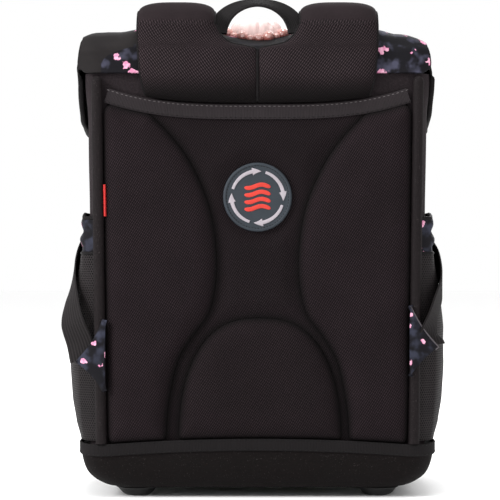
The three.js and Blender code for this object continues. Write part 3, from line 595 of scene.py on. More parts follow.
class Dye:
    """A material being mixed: its nodes, and the main shader that they feed."""

    def __init__(self, name: str) -> None:
        """Starts a material.

        Args:
            name: the material's name.
        """
        self.material = bpy.data.materials.new(name)
        self.material.use_nodes = True
        self.nodes = self.material.node_tree.nodes
        self.links = self.material.node_tree.links
        self.shader = self.nodes["Principled BSDF"]

    def node(self, kind: str, settings: Optional[dict[str, Any]] = None,
             inputs: Optional[dict[Any, Any]] = None) -> bpy.types.Node:
        """Adds a node.

        Args:
            kind: the node's type.
            settings: its own settings; stops are a ramp's places and colours.
            inputs: a value or a link for each named or numbered socket.

        Returns:
            The node.
        """
        node = self.nodes.new(kind)
        for name, value in (settings or {}).items():
            if name == "stops":
                ramp = node.color_ramp
                while len(ramp.elements) < len(value):
                    ramp.elements.new(0.5)
                for element, (place, shade) in zip(ramp.elements, value):
                    element.position, element.color = place, (*shade, 1)
            else:
                setattr(node, name, value)
        for name, value in (inputs or {}).items():
            self.feed(node.inputs[name], value)
        return node

    def feed(self, socket: bpy.types.NodeSocket, value: Any) -> None:
        """Links or sets a socket.

        Args:
            socket: the input.
            value: a number, a colour, an output or a Value.
        """
        if isinstance(value, Value):
            self.links.new(value.socket, socket)
        elif isinstance(value, bpy.types.NodeSocket):
            self.links.new(value, socket)
        elif isinstance(value, tuple) and socket.type == "RGBA" and len(value) == 3:
            socket.default_value = (*value, 1)
        else:
            socket.default_value = value

    def places(self, where: Map) -> tuple[Value, Value, Value]:
        """Measures in millimetres: on the flat cloth, or across, deep and up in the bag's space.

        Args:
            where: the kind of measure.

        Returns:
            Three numbers.
        """
        if where is Map.FLAT:
            source = self.node("ShaderNodeUVMap", {"uv_map": "cloth"}).outputs[0]
        else:
            source = self.node("ShaderNodeTexCoord").outputs["Object"]
            source = self.node("ShaderNodeVectorMath", {"operation": "SCALE"},
                               {0: source, "Scale": 1 / MM}).outputs[0]
        parts = self.node("ShaderNodeSeparateXYZ", None, {0: source})
        return tuple(Value(self, out) for out in parts.outputs)

    def recess(self) -> Value:
        """How much painted shade darkens the surface, from 0 to 1, as measured when the piece was made."""
        source = self.node("ShaderNodeAttribute", {"attribute_name": "recess"})
        return Value(self, source.outputs["Fac"])

    def vector(self, x: Amount, y: Amount, z: Amount = 0.0) -> bpy.types.NodeSocket:
        """A vector of three numbers."""
        return self.node("ShaderNodeCombineXYZ", None, {0: x, 1: y, 2: z}).outputs[0]

    def noise(self, size: float, detail: float = 2.0, where: Map = Map.SPACE, rough: float = 0.5) -> Value:
        """Cloudy noise from 0 to 1.

        Args:
            size: of its clouds, in millimetres.
            detail: how many finer layers it has.
            where: where it is measured.
            rough: weight of the finer layers.

        Returns:
            The noise.
        """
        node = self.node("ShaderNodeTexNoise", None, {
            "Vector": self.vector(*self.places(where)), "Scale": 1 / size,
            "Detail": detail, "Roughness": rough,
        })
        return Value(self, node.outputs[0])

    def cells(self, size: float, output: str, warp: Amount) -> Value:
        """A pattern of uneven cells in the bag's space.

        Args:
            size: from cell to cell, in millimetres.
            output: the pattern's output that is read.
            warp: how far its measures are moved, in millimetres.

        Returns:
            The pattern.
        """
        x, y, z = self.places(Map.SPACE)
        node = self.node("ShaderNodeTexVoronoi", None,
                         {"Vector": self.vector(x + warp, y - warp, z), "Scale": 1 / size})
        return Value(self, node.outputs[output])

    def blend(self, share: Amount, first: Any, second: Any) -> bpy.types.NodeSocket:
        """Mixes two colours.

        Args:
            share: how much of the second shows.
            first: colour or output.
            second: colour or output.

        Returns:
            The mixed colour.
        """
        node = self.node("ShaderNodeMix", {"data_type": "RGBA"}, {0: share, 6: first, 7: second})
        return node.outputs[2]

    def bump(self, height: Value, depth: float, strength: float = 1.0) -> None:
        """Gives the shader a relief.

        Args:
            height: from 0 to 1.
            depth: of the relief, in millimetres.
            strength: how strongly it shows.
        """
        node = self.node("ShaderNodeBump", None,
                         {"Height": height, "Distance": depth * MM, "Strength": strength})
        self.links.new(node.outputs[0], self.shader.inputs["Normal"])

    def set(self, **values: Any) -> None:
        """Sets or feeds sockets of the main shader, named with _ for a space."""
        for name, value in values.items():
            self.feed(self.shader.inputs[name.replace("_", " ")], value)


class Finish:
    """Something that a piece is made of or covered with. Each makes its material once."""

    made: dict[Any, bpy.types.Material] = {}

    def dress(self) -> bpy.types.Material:
        """The finish's material, mixed at first use.

        Returns:
            The material.
        """
        if self not in Finish.made:
            dye = Dye(type(self).__name__.lower() + f"_{len(Finish.made) + 1}")
            self.mix(dye)
            Finish.made[self] = dye.material
        return Finish.made[self]

    def mix(self, dye: Dye) -> None:
        """Mixes the material's nodes.

        Args:
            dye: the material.
        """
        raise NotImplementedError


@dataclass(frozen=True)
class AirMesh(Finish):
    """Fine knitted mesh over foam, with slanted rows of small loops.

    Attributes:
        shade: the yarn's colour.
        hollow: colour between the loops.
        lean: 1 where the rows rise to the right, -1 to the left.
        pitch: from row to row, in millimetres.
        smooth_above: height over which the cloth is smooth, in millimetres.
    """

    shade: Colour = colour(44, 34, 38)
    hollow: Colour = colour(6, 3, 4)
    lean: int = 1
    pitch: float = 1.65
    smooth_above: float = 1e4

    def mix(self, dye: Dye) -> None:
        """Mixes the material's nodes.

        Args:
            dye: the material.
        """
        u, v, _ = dye.places(Map.FLAT)
        _, _, height = dye.places(Map.SPACE)
        slant = math.radians(58)
        across = u * (math.sin(slant) * self.lean) - v * math.cos(slant)
        along = u * (math.cos(slant) * self.lean) + v * math.sin(slant)
        wander = dye.noise(9, 2, Map.FLAT) * 1.1
        rows = (across + wander).wave(self.pitch)
        loops = (along + rows * 0.5).wave(self.pitch * 1.35)
        weave = (rows ** 1.3) * (loops * 0.6 + 0.4)
        plain = height.step(self.smooth_above, self.smooth_above + 3.0)
        fine = u.wave(0.9) * v.wave(0.9) * 0.3 + 0.24
        weave = weave * (1 - plain) + fine * plain
        patch = dye.noise(38, 3)
        dusty = dye.noise(1.1, 1).step(0.74, 0.84)
        # Painted shade: the colour darkens towards near-black by the pads' seams and where the straps turn
        # under.
        recess = dye.recess()
        base = dye.blend(weave * (patch * 0.7 + 0.5), self.hollow, self.shade)
        base = dye.blend(dusty * 0.3, base, colour(70, 60, 62))
        dye.set(Base_Color=dye.blend(recess * 0.85, base, colour(5, 4, 4)),
                Roughness=0.84 + weave * 0.1, Specular_IOR_Level=0.09)
        dye.bump(weave, 0.4, 0.9)


@dataclass(frozen=True)
class PlainCloth(Finish):
    """Close plain weave with a dull coat.

    Attributes:
        shade: the cloth's colour.
        grain: distance of its threads, in millimetres.
        gloss: roughness of its coat.
    """

    shade: Colour = colour(30, 25, 27)
    grain: float = 0.75
    gloss: float = 0.72

    def mix(self, dye: Dye) -> None:
        """Mixes the material's nodes.

        Args:
            dye: the material.
        """
        u, v, _ = dye.places(Map.FLAT)
        warp, weft = u.wave(self.grain), v.wave(self.grain)
        weave = warp * weft + (1 - warp) * (1 - weft)
        patch = dye.noise(26, 4)
        fold = dye.noise(70, 2)
        speck = dye.noise(1.6, 2, rough=0.7)
        dark = tuple(part * 0.3 for part in self.shade)
        light = tuple(part * 2.0 for part in self.shade)
        lint = dye.noise(0.9, 0).step(0.74, 0.82)
        tone = weave * 0.25 + patch * 0.25 + fold * 0.15 + speck.step(0.32, 0.68) * 0.4
        base = dye.blend(tone.math("MINIMUM", 1.0), dark, light)
        dye.set(Base_Color=dye.blend(lint * 0.35, base, colour(78, 72, 72)),
                Roughness=self.gloss + patch * 0.14, Specular_IOR_Level=0.09)
        dye.bump(weave * 0.3 + patch * 0.7, 0.3, 0.6)


@dataclass(frozen=True)
class Grosgrain(Finish):
    """Ribbed tape: ribs across its length, and a slightly worn face.

    Attributes:
        shade: the tape's colour.
        pitch: of its ribs, in millimetres.
    """

    shade: Colour = colour(41, 36, 38)
    pitch: float = 1.25

    def mix(self, dye: Dye) -> None:
        """Mixes the material's nodes.

        Args:
            dye: the material.
        """
        u, v, _ = dye.places(Map.FLAT)
        rib = v.wave(self.pitch)
        yarn = u.wave(0.8)
        patch = dye.noise(7, 3, Map.FLAT)
        dark = tuple(part * 0.42 for part in self.shade)
        tone = rib * 0.55 + yarn * 0.12 + patch * 0.45
        dye.set(Base_Color=dye.blend(tone.math("MINIMUM", 1.0), dark, self.shade),
                Roughness=0.78 + patch * 0.12, Specular_IOR_Level=0.14)
        dye.bump(rib * 0.8 + yarn * 0.2, 0.3, 0.8)


@dataclass(frozen=True)
class Thread(Finish):
    """Twisted sewing thread.

    Attributes:
        shade: the thread's colour.
    """

    shade: Colour = colour(92, 87, 88)

    def mix(self, dye: Dye) -> None:
        """Mixes the material's nodes.

        Args:
            dye: the material.
        """
        x, y, z = dye.places(Map.SPACE)
        twist = (x + z + y).wave(0.5)
        worn = dye.noise(9, 2)
        dark = tuple(part * 0.45 for part in self.shade)
        dye.set(Base_Color=dye.blend(twist * 0.4 + worn * 0.6, dark, self.shade), Roughness=0.6 + twist * 0.2,
                Specular_IOR_Level=0.2)
        dye.bump(twist, 0.1, 0.5)


@dataclass(frozen=True)
class PrintCloth(Finish):
    """Smooth print cloth: charcoal with soft grey-blue clouds and scattered pink flecks.

    Attributes:
        cell: from fleck to fleck, in millimetres.
        share: how many of the cells have no fleck.
        corner: whether the cloth's left rear corner is plain.
        cloud: colour of its clouds.
        seam: line of the plain corner's seam on the rear face, across and up from the bag's middle.
        seam_span: where the seam's curve starts, and how wide it is.
        seam_rise: heights between which it runs.
        inner: where the rear part of the plain corner ends.
        outer: where the plain edge starts.
        rear: depth behind which the rear part lies.
        slope: slant of the plain corner's edge on the top face.
        slant: place of that edge.
        crest: height over which the top face lies.
    """

    cell: float = 17.0
    share: float = 0.40
    corner: bool = False
    cloud: Colour = colour(49, 51, 64)
    seam: tuple[tuple[float, float], ...] = (
        (-132.4, 355.4), (-129, 362.7), (-118.4, 370), (-100.4, 374.8), (-90, 377),
    )
    seam_span: tuple[float, float] = (-145.0, 60.0)
    seam_rise: tuple[float, float] = (350.0, 380.0)
    inner: float = -97.0
    outer: float = -126.0
    rear: float = -86.0
    slope: float = 0.75
    slant: float = -160.0
    crest: float = 374.0

    def mix(self, dye: Dye) -> None:
        """Mixes the material's nodes.

        Args:
            dye: the material.
        """
        x, y, z = dye.places(Map.SPACE)
        clouds = dye.noise(11, 2.5).step(0.46, 0.68)
        smoke = dye.noise(30, 2).step(0.4, 0.7)
        ground = dye.blend(clouds * 0.8, colour(15, 14, 18), self.cloud)
        ground = dye.blend(smoke * 0.4, ground, colour(12, 11, 15))
        # Painted shade: the print darkens to near-black between the straps towards the lid's rear, round the
        # dip.
        shade = x.math("ABSOLUTE").step(44.0, 36.0) * y.step(-62.0, -66.0)
        ground = dye.blend(shade * 0.9, ground, colour(11, 10, 12))
        warp = dye.noise(5, 1) * 9.0
        cells = dye.cells(self.cell, "Distance", warp)
        chosen = dye.cells(self.cell, "Color", warp)
        notch = dye.noise(3.2, 1)
        fleck = (cells + notch * 0.3).step(0.39, 0.35) * chosen.over(self.share)
        rose = dye.blend(dye.noise(4, 1).step(0.35, 0.65), colour(190, 118, 150), colour(214, 160, 182))
        base = dye.blend(fleck, ground, rose)
        grain = dye.noise(0.7, 1)
        gloss: Amount = 0.66 + grain * 0.12
        if self.corner:
            plain = self.plain_corner(dye)
            u, v, _ = dye.places(Map.FLAT)
            weave = u.wave(0.8) * v.wave(0.8)
            cloth = dye.blend(weave * 0.4 + dye.noise(20, 3) * 0.6, colour(15, 13, 14), colour(40, 37, 37))
            base = dye.blend(plain, base, cloth)
            gloss = gloss * (1 - plain) + plain * 0.78
        dye.set(Base_Color=base, Roughness=gloss, Specular_IOR_Level=0.1)
        dye.bump(grain * 0.3 + dye.noise(14, 2) * 0.7, 0.5, 0.5)

    def plain_corner(self, dye: Dye) -> Value:
        """Where the cloth is plain at the left rear corner.

        Args:
            dye: the material.

        Returns:
            1 on the plain cloth, otherwise 0.
        """
        x, y, z = dye.places(Map.SPACE)
        (start, wide), (low, high) = self.seam_span, self.seam_rise
        line = dye.node("ShaderNodeFloatCurve", None, {"Factor": 1.0, "Value": (x - start) / wide})
        curve = line.mapping.curves[0]
        curve.points[0].location = (0, 0)
        curve.points[1].location = (1, (self.seam[-1][1] - low) / (high - low))
        for across, up in spline(np.array(self.seam), 9)[1:-1:2]:
            curve.points.new((across + CENTRE[0] - start) / wide, (up - low) / (high - low))
        line.mapping.update()
        limit = Value(dye, line.outputs[0]) * (high - low) + low
        rear = (z - limit).step(-0.4, 0.4) * x.step(self.inner, self.inner - 4)
        rear = rear * y.step(self.rear, self.rear - 4)
        top = (x + y * self.slope).step(self.slant, self.slant - 1.5) * z.step(self.crest, self.crest + 4)
        outer = x.step(self.outer, self.outer - 1.2)
        return rear.math("MAXIMUM", top).math("MAXIMUM", outer * (1 - top))


@dataclass(frozen=True)
class PocketMesh(Finish):
    """Open knitted mesh with rows of small holes.

    Attributes:
        pitch: from hole to hole, in millimetres.
    """

    pitch: float = 2.3

    def mix(self, dye: Dye) -> None:
        """Mixes the material's nodes.

        Args:
            dye: the material.
        """
        u, v, _ = dye.places(Map.FLAT)
        row = (v / (self.pitch * 0.86)).math("FLOOR")
        shift = row.math("MODULO", 2.0).math("ABSOLUTE") * 0.5
        across = (u / self.pitch + shift).math("FRACT") - 0.5
        up = (v / (self.pitch * 0.86)).math("FRACT") - 0.5
        distance = (across * across + up * up * 0.75).math("SQRT")
        hole = distance.step(0.34, 0.25)
        patch = dye.noise(24, 2)
        yarn = dye.blend(patch, colour(21, 18, 19), colour(40, 35, 36))
        dye.set(Base_Color=dye.blend(hole, yarn, colour(5, 4, 4)), Roughness=0.7 + hole * 0.2,
                Specular_IOR_Level=0.14)
        dye.bump(1 - hole, 0.5, 0.9)


@dataclass(frozen=True)
class Webbing(Finish):
    """Woven webbing: yarns across and along its length.

    Attributes:
        shade: the yarn's colour.
        rib: distance of the ribs along its length, in millimetres.
    """

    shade: Colour = colour(38, 34, 35)
    rib: float = 3.0

    def mix(self, dye: Dye) -> None:
        """Mixes the material's nodes.

        Args:
            dye: the material.
        """
        u, v, _ = dye.places(Map.FLAT)
        pick = (v + u.wave(self.rib) * 0.6).wave(1.3)
        rib = u.wave(self.rib)
        patch = dye.noise(18, 3)
        dark = tuple(part * 0.12 for part in self.shade)
        dye.set(Base_Color=dye.blend(pick * 0.2 + rib * 0.6 + patch * 0.2, dark, self.shade),
                Roughness=0.6 + patch * 0.2, Specular_IOR_Level=0.12)
        dye.bump(pick * 0.5 + rib * 0.5, 0.25, 0.7)


@dataclass(frozen=True)
class Moulded(Finish):
    """Moulded plastic or rubber with a fine grain.

    Attributes:
        shade: its colour.
        gloss: its roughness.
        depth: of its grain, in millimetres.
    """

    shade: Colour = colour(14, 13, 13)
    gloss: float = 0.45
    depth: float = 0.08

    def mix(self, dye: Dye) -> None:
        """Mixes the material's nodes.

        Args:
            dye: the material.
        """
        grain = dye.noise(0.5, 1)
        cloud = dye.noise(12, 3)
        rubbed = dye.noise(3, 4).step(0.6, 0.72)
        dark = tuple(part * 0.75 for part in self.shade)
        light = tuple(min(1.0, part * 1.2 + 0.004) for part in self.shade)
        dye.set(Base_Color=dye.blend(cloud * 0.8 + rubbed * 0.2, dark, light),
                Roughness=self.gloss + rubbed * 0.1 + cloud * 0.08, Specular_IOR_Level=0.3)
        dye.bump(grain * 0.5 + cloud * 0.5, self.depth, 0.5)


@dataclass(frozen=True)
class RedTape(Finish):
    """Bright red woven tape."""

    def mix(self, dye: Dye) -> None:
        """Mixes the material's nodes.

        Args:
            dye: the material.
        """
        u, v, _ = dye.places(Map.FLAT)
        rib = v.wave(0.8)
        tone = rib * 0.4 + dye.noise(6, 2) * 0.6
        dye.set(Base_Color=dye.blend(tone, colour(130, 10, 8), colour(200, 26, 20)),
                Roughness=0.6 + rib * 0.15)
        dye.bump(rib, 0.15, 0.6)


@dataclass(frozen=True)
class Pearl(Finish):
    """Pink pearl lustre, darkened by painted shade on the lower side."""

    def mix(self, dye: Dye) -> None:
        """Mixes the material's nodes.

        Args:
            dye: the material.
        """
        cloud = dye.noise(2.4, 2)
        # Painted shade: the beads turn deep salmon on their lower side.
        under = dye.recess()
        pale = dye.blend(cloud, colour(222, 150, 140), colour(240, 186, 176))
        dye.set(Base_Color=dye.blend(under, pale, colour(150, 66, 60)),
                Roughness=0.25 + cloud * 0.08, Specular_IOR_Level=0.4, Coat_Weight=1.0, Coat_Roughness=0.06,
                Coat_IOR=2.1)


@dataclass(frozen=True)
class Organza(Finish):
    """Sheer pale pink organza."""

    def mix(self, dye: Dye) -> None:
        """Mixes the material's nodes.

        Args:
            dye: the material.
        """
        u, v, _ = dye.places(Map.FLAT)
        net = u.wave(0.5) * v.wave(0.5)
        cloud = dye.noise(7, 2)
        dye.set(Base_Color=dye.blend(cloud * 0.7 + net * 0.3, colour(248, 228, 224), colour(234, 196, 192)),
                Roughness=0.45 + net * 0.1, Sheen_Weight=0.3, Alpha=0.74 + net * 0.2)
        dye.bump(net, 0.06, 0.4)


AIR_MESH = AirMesh()
# Darker copies of the air mesh, as painted shade: on the recessed panel between the pads, and on the lumbar
# pad.
PANEL_MESH = AirMesh(shade=colour(38, 30, 33))
LUMBAR_MESH = AirMesh(shade=colour(41, 32, 35))
CLOTH = PlainCloth()
BASE_CLOTH = PlainCloth(shade=colour(9, 6, 6), grain=0.9, gloss=0.7)
ROLL_CLOTH = PlainCloth(shade=colour(18, 14, 15), grain=0.8, gloss=0.6)
LINING = PlainCloth(shade=colour(13, 12, 12), grain=0.6, gloss=0.7)
BINDING = PlainCloth(shade=colour(13, 11, 12), grain=0.9, gloss=0.6)
TAPE = Grosgrain()
BASE_TAPE = Grosgrain(shade=colour(22, 19, 20))
PLASTIC = Moulded()
PALE_THREAD = Thread()
DARK_THREAD = Thread(shade=colour(8, 7, 7))
PRINT = PrintCloth(cell=12.0, share=0.45)
LID_PRINT = PrintCloth(share=0.34, corner=True, cloud=colour(68, 68, 84))


# The bag's own measures.

_low, _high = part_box("body_shell")
CENTRE = ((_low.x + _high.x) / 2 / MM, (_low.y + _high.y) / 2 / MM)


def make(name: str, surface: Surface, finish: Finish, nodes: Sequence[str] = (),
         sharp: float = 50.0) -> bpy.types.Object:
    """Makes a piece from a surface and puts it at its place on the bag.

    Args:
        name: the piece's name.
        surface: its shape, in millimetres from the bag's middle.
        finish: what it is made of.
        nodes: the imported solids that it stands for.
        sharp: edges that turn more than this many degrees stay crisp.

    Returns:
        The object.
    """
    mesh = bpy.data.meshes.new(name)
    points = np.array(surface.points, float)
    points[:, 0] += CENTRE[0]
    points[:, 1] += CENTRE[1]
    mesh.from_pydata((points * MM).tolist(), [], surface.faces)
    layer = mesh.uv_layers.new(name="cloth")
    layer.uv.foreach_set("vector", np.array(surface.flats, np.float32).ravel())
    # Painted shade for the materials to read, one value per point.
    if surface.recess is not None:
        deep = mesh.attributes.new("recess", "FLOAT", "POINT")
        deep.data.foreach_set("value", np.asarray(surface.recess, np.float32))
    work = bmesh.new()
    work.from_mesh(mesh)
    bmesh.ops.recalc_face_normals(work, faces=work.faces)
    work.to_mesh(mesh)
    work.free()
    mesh.shade_smooth()
    mesh.set_sharp_from_angle(angle=math.radians(sharp))
    mesh.materials.append(finish.dress())
    piece = bpy.data.objects.new(name, mesh)
    bpy.context.scene.collection.objects.link(piece)
    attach(piece, "root")
    if nodes:
        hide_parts(*nodes)
    log.info("%s: %d faces", name, len(mesh.polygons))
    return piece


@dataclass(frozen=True)
class Box:
    """Measures of the bag's box and lid that several pieces share, in millimetres."""

    width: float = 288.0
    depth: float = 192.0
    top: float = 352.6
    taper: float = 4.0
    wall: float = 4.0
    corner: float = 14.0
    gap: float = 0.3
    base_top: float = 43.4
    base_half: float = 147.0
    base_proud: float = 6.0
    pad_half: float = 126.0
    tape_width: float = 10.0
    tape_lift: float = 1.6
    tape_dip: float = 4.8
    yoke_height: float = 320.4
    yoke_rise: float = 14.0
    yoke_width: float = 12.4
    panel: float = 3.0
    seam_gap: float = 0.4
    roll: float = 4.6
    roll_inset: float = 10.7

    @property
    def back(self) -> float:
        """Depth of the back wall's outer face."""
        return -self.depth / 2

    @property
    def front(self) -> float:
        """Depth of the front wall's outer face."""
        return self.depth / 2

    @property
    def seat(self) -> float:
        """Depth that the pads stand on."""
        return self.back - 2 * self.gap - self.panel

    def side(self, height: Any) -> Any:
        """Half of the box's width at a height."""
        return self.width / 2 - self.taper * (1 - (height - self.base_top) / (self.top - self.base_top))

    def base_tape(self, x: Any, on_back: Any = True) -> Any:
        """Height of the base tape's middle at a place across the bag."""
        share = np.minimum(1, np.abs(x) / self.pad_half)
        return self.base_top + self.tape_lift - self.tape_dip * np.where(on_back, share ** 2, 0.6)

    def yoke_tape(self, x: Any) -> Any:
        """Height of the yoke tape's middle at a place across the back."""
        share = np.minimum(1, np.abs(x) / self.pad_half)
        return self.yoke_height + self.yoke_rise * share ** 3.2

    def pad_bottom(self, x: Any) -> Any:
        """Lowest place of the pads."""
        return self.base_tape(x) + self.tape_width / 2 + self.seam_gap

    def pad_top(self, x: Any) -> Any:
        """Highest place of the pads."""
        return self.yoke_tape(x) - self.yoke_width / 2 - self.seam_gap


BOX = Box()


def round_box(half: float, back: float, front: float, radius: float, steps: int, run: int) -> Array:
    """A rounded rectangle seen from above, with points along its sides too.

    Args:
        half: half of its width.
        back: its rear depth.
        front: its front depth.
        radius: of its corners.
        steps: spans in a corner.
        run: spans along a side.

    Returns:
        Points (across, deep), anticlockwise from the right side's front corner.
    """
    corners = ((half - radius, front - radius, 0), (radius - half, front - radius, 1),
               (radius - half, back + radius, 2), (half - radius, back + radius, 3))
    out = []
    for x, y, quarter in corners:
        for i in range(steps + 1):
            angle = (quarter + i / steps) * math.pi / 2
            out.append((x + radius * math.cos(angle), y + radius * math.sin(angle)))
    ring = []
    for i, point in enumerate(out):
        ring.append(point)
        if i % (steps + 1) == steps:
            after = out[(i + 1) % len(out)]
            ring.extend(tuple(mix(np.array(point), np.array(after), k / run)) for k in range(1, run))
    return np.array(ring)


# The box.


@dataclass
class Carcass:
    """The stiff box of foam board under cloth, with its lining and closed rim."""

    levels: int = 34
    front_swell: float = 3.2
    side_swell: float = 1.3
    side_sink: float = 2.4
    seam_low: float = 58.0
    seam_high: float = 168.0
    seam_inset: float = 5.0

    def outer(self, height: float) -> Array:
        """Outline of the walls at a height, swollen a little where nothing leans on them.

        Args:
            height: of the outline.

        Returns:
            Points (across, deep).
        """
        ring = round_box(BOX.side(height), BOX.back, BOX.front, BOX.corner, 6, 18)
        low = smoothstep(height, 50, 90) * (1 - smoothstep(height, 130, 168))
        high = smoothstep(height, 246, 285) * (1 - smoothstep(height, 305, 345))
        x, y = ring[:, 0], ring[:, 1]
        flat = np.clip(1 - np.abs(x / (BOX.side(height) - 6)) ** 4, 0, 1)
        deep = np.clip(1 - np.abs(y / (BOX.front - 8)) ** 4, 0, 1)
        soft = ripple(x + height * 0.7, 90, 3) * 0.35 + ripple(y * 0.8 - height, 60, 4) * 0.25
        ring[:, 1] += np.where(y > BOX.front - 3, (self.front_swell * low + soft * low) * flat, 0)
        sunk = self.side_sink * smoothstep(height, 90, 150) * (1 - smoothstep(height, 315, 345))
        ring[:, 0] -= np.sign(x) * sunk * smoothstep(np.abs(x), BOX.side(height) - 7, BOX.side(height) - 2)
        ring[:, 0] += np.where(np.abs(x) > BOX.side(height) - 3,
                               np.sign(x) * (self.side_swell * high + soft * high) * deep, 0)
        return ring

    def walls(self) -> Surface:
        """The walls with both of their faces, closed at the rim and the foot.

        Returns:
            The surface.
        """
        heights = np.linspace(BOX.base_top + BOX.gap, BOX.top, self.levels)
        rows = [np.column_stack([self.outer(z), np.full(len(self.outer(z)), z)]) for z in heights]
        for z in heights[::-1]:
            ring = round_box(BOX.side(z) - BOX.wall, BOX.back + BOX.wall, BOX.front - BOX.wall,
                             BOX.corner - BOX.wall * 0.7, 6, 18)
            rows.append(np.column_stack([ring, np.full(len(ring), z)]))
        return Surface().grid(np.array(rows), around=True, closed=True)

    def build(self) -> None:
        """Makes the walls and the stitching down the front edges."""
        make("box_walls", self.walls(), CLOTH, ["body_shell"], 60)
        for side in Side:
            heights = np.linspace(self.seam_low, self.seam_high, 30)
            x = side.value * (BOX.side(heights) - BOX.corner - self.seam_inset)
            path = np.column_stack([x, np.full(30, BOX.front + 0.15), heights])
            seam = stitch_row(path, np.tile((0, 1, 0), (30, 1)), 0, 3.6, 2.4, 0.3)
            make(f"front_seam_{side.word}", seam, DARK_THREAD)


@dataclass
class Base:
    """Moulded tray under cloth, with four round feet and the tape round its upper edge."""

    wall: float = 4.0
    corner: float = 22.0
    round_in: float = 32.0
    floor: float = 7.7
    depth_share: float = 0.6
    foot_radius: float = 16.5
    foot_spacing: float = 202.0
    foot_inset: float = 34.0
    tape: float = 1.4

    rings: tuple[tuple[float, float], ...] = (
        (0, 0.88), (0.03, 0.7), (0.09, 0.53), (0.24, 0.28), (0.42, 0.12), (0.66, 0.03), (0.85, 0), (1, 0),
    )
    foot_profile: tuple[tuple[float, float], ...] = (
        (0.3, 0), (0.52, 0.03), (0.7, 0.2), (0.84, 0.48), (0.95, 0.8), (1.08, 0.98),
    )

    def ring(self, inset: float, wall: float) -> Array:
        """Outline of the tray at an inset from its widest place.

        Args:
            inset: as a share of round_in.
            wall: thickness taken off the outline.

        Returns:
            Points (across, deep).
        """
        x = BOX.base_half - inset * self.round_in - wall
        y = inset * self.round_in * self.depth_share + wall
        back, front = BOX.back - BOX.base_proud, BOX.front + BOX.base_proud
        return round_box(x, back + y, front - y, self.corner - wall / 2, 6, 16)

    def tray(self) -> Surface:
        """The tray, with a ledge on which the walls stand.

        Returns:
            The closed surface.
        """
        profile = spline(np.array(self.rings), 22)
        rows = []
        for rise, inset in profile:
            ring = self.ring(max(0, inset), 0)
            bow = math.sin(math.pi * min(1, max(0, rise)))
            soft = ripple(ring[:, 0] * 0.9 + ring[:, 1], 110, 8) * 0.3 * bow
            ring = ring * (1 + soft / 150)[:, None]
            rows.append(np.column_stack([ring, np.full(len(ring), mix(self.floor, BOX.base_top, rise))]))
        lip = BOX.side(BOX.base_top) - BOX.wall - 1
        for z in (BOX.base_top, BOX.base_top - self.wall):
            ring = round_box(lip, BOX.back + BOX.wall + 1, BOX.front - BOX.wall - 1,
                             BOX.corner - BOX.wall, 6, 16)
            rows.append(np.column_stack([ring, np.full(len(ring), z)]))
        for rise, inset in profile[::-3]:
            ring = self.ring(max(0, inset), self.wall)
            z = mix(self.floor + self.wall, BOX.base_top - self.wall, rise)
            rows.append(np.column_stack([ring, np.full(len(ring), z)]))
        rows = np.array(rows)
        return closed_rings(rows, (0, 0, rows[0, 0, 2]), (0, 0, rows[-1, 0, 2]))

    def foot(self, x: float, y: float) -> Surface:
        """A round foot with a soft dome and a small tread.

        Args:
            x: across the bag.
            y: deep in the bag.

        Returns:
            The closed surface.
        """
        profile = np.vstack([spline(np.array(self.foot_profile), 16), [(1.0, 1.06)]])
        angle = np.arange(40) / 40 * TAU
        rows = np.array([
            np.column_stack([x + np.cos(angle) * r * self.foot_radius,
                             y + np.sin(angle) * r * self.foot_radius,
                             np.full(40, max(0.0, h) * (self.floor - BOX.gap))])
            for r, h in profile
        ])
        return closed_rings(rows, (x, y, 0.0), (x, y, rows[-1, 0, 2]))

    def tape_path(self) -> tuple[Array, Array]:
        """Middle line of the base tape.

        Returns:
            Its points and the way it faces at each.
        """
        out = BOX.gap + self.tape / 2
        back, front = BOX.back - BOX.base_proud, BOX.front + BOX.base_proud
        ring = round_box(BOX.base_half + out, back - out, front + out, self.corner + out, 8, 40)
        blend = smoothstep(-ring[:, 1], -BOX.back - 18, -BOX.back + 4)
        height = mix(BOX.base_tape(ring[:, 0], False), BOX.base_tape(ring[:, 0], True), blend)
        path = np.column_stack([ring, height])
        ahead = np.roll(ring, -1, 0) - np.roll(ring, 1, 0)
        facing = np.column_stack([ahead[:, 1], -ahead[:, 0], np.zeros(len(ring))])
        return path, facing / np.linalg.norm(facing, axis=1, keepdims=True)

    def build(self) -> None:
        """Makes the tray, the feet, the tape and its stitches."""
        make("base_tray", self.tray(), BASE_CLOTH, ["base"], 60)
        back, front = BOX.back - BOX.base_proud, BOX.front + BOX.base_proud
        for row, y in (("rear", back + self.foot_inset), ("front", front - self.foot_inset)):
            for side in Side:
                x = side.value * self.foot_spacing / 2
                make(f"foot_{row}_{side.word}_dome", self.foot(x, y), PLASTIC, [f"foot_{row}_{side.word}"],
                     60)
        path, facing = even_path(*self.tape_path(), 2.0, closed=True)
        band = oval(BOX.tape_width, self.tape, 16, 4.5)
        make("base_tape_band", sweep(path, facing, band, closed=True), BASE_TAPE, ["base_tape"],
             60)
        stitches = Surface()
        for across in (-3.9, 3.9):
            stitches.join(stitch_row(path, facing, across, 4.2, 2.8, 0.4, self.tape / 2 - 0.05, closed=True))
        make("base_tape_stitches", stitches, DARK_THREAD)


# The padded back.


def outline_gap(points: Array, outline: Array) -> Array:
    """Distance of points from a closed outline.

    Args:
        points: points in a plane.
        outline: corners of the outline, in order.

    Returns:
        One distance for each point.
    """
    start, end = outline, np.roll(outline, -1, 0)
    run = end - start
    length = np.maximum(np.sum(run * run, 1), 1e-12)
    best = np.full(len(points), 1e9)
    for a, d, l in zip(start, run, length):
        share = np.clip(((points - a) @ d) / l, 0, 1)
        best = np.minimum(best, np.linalg.norm(points - (a + share[:, None] * d), axis=1))
    return best


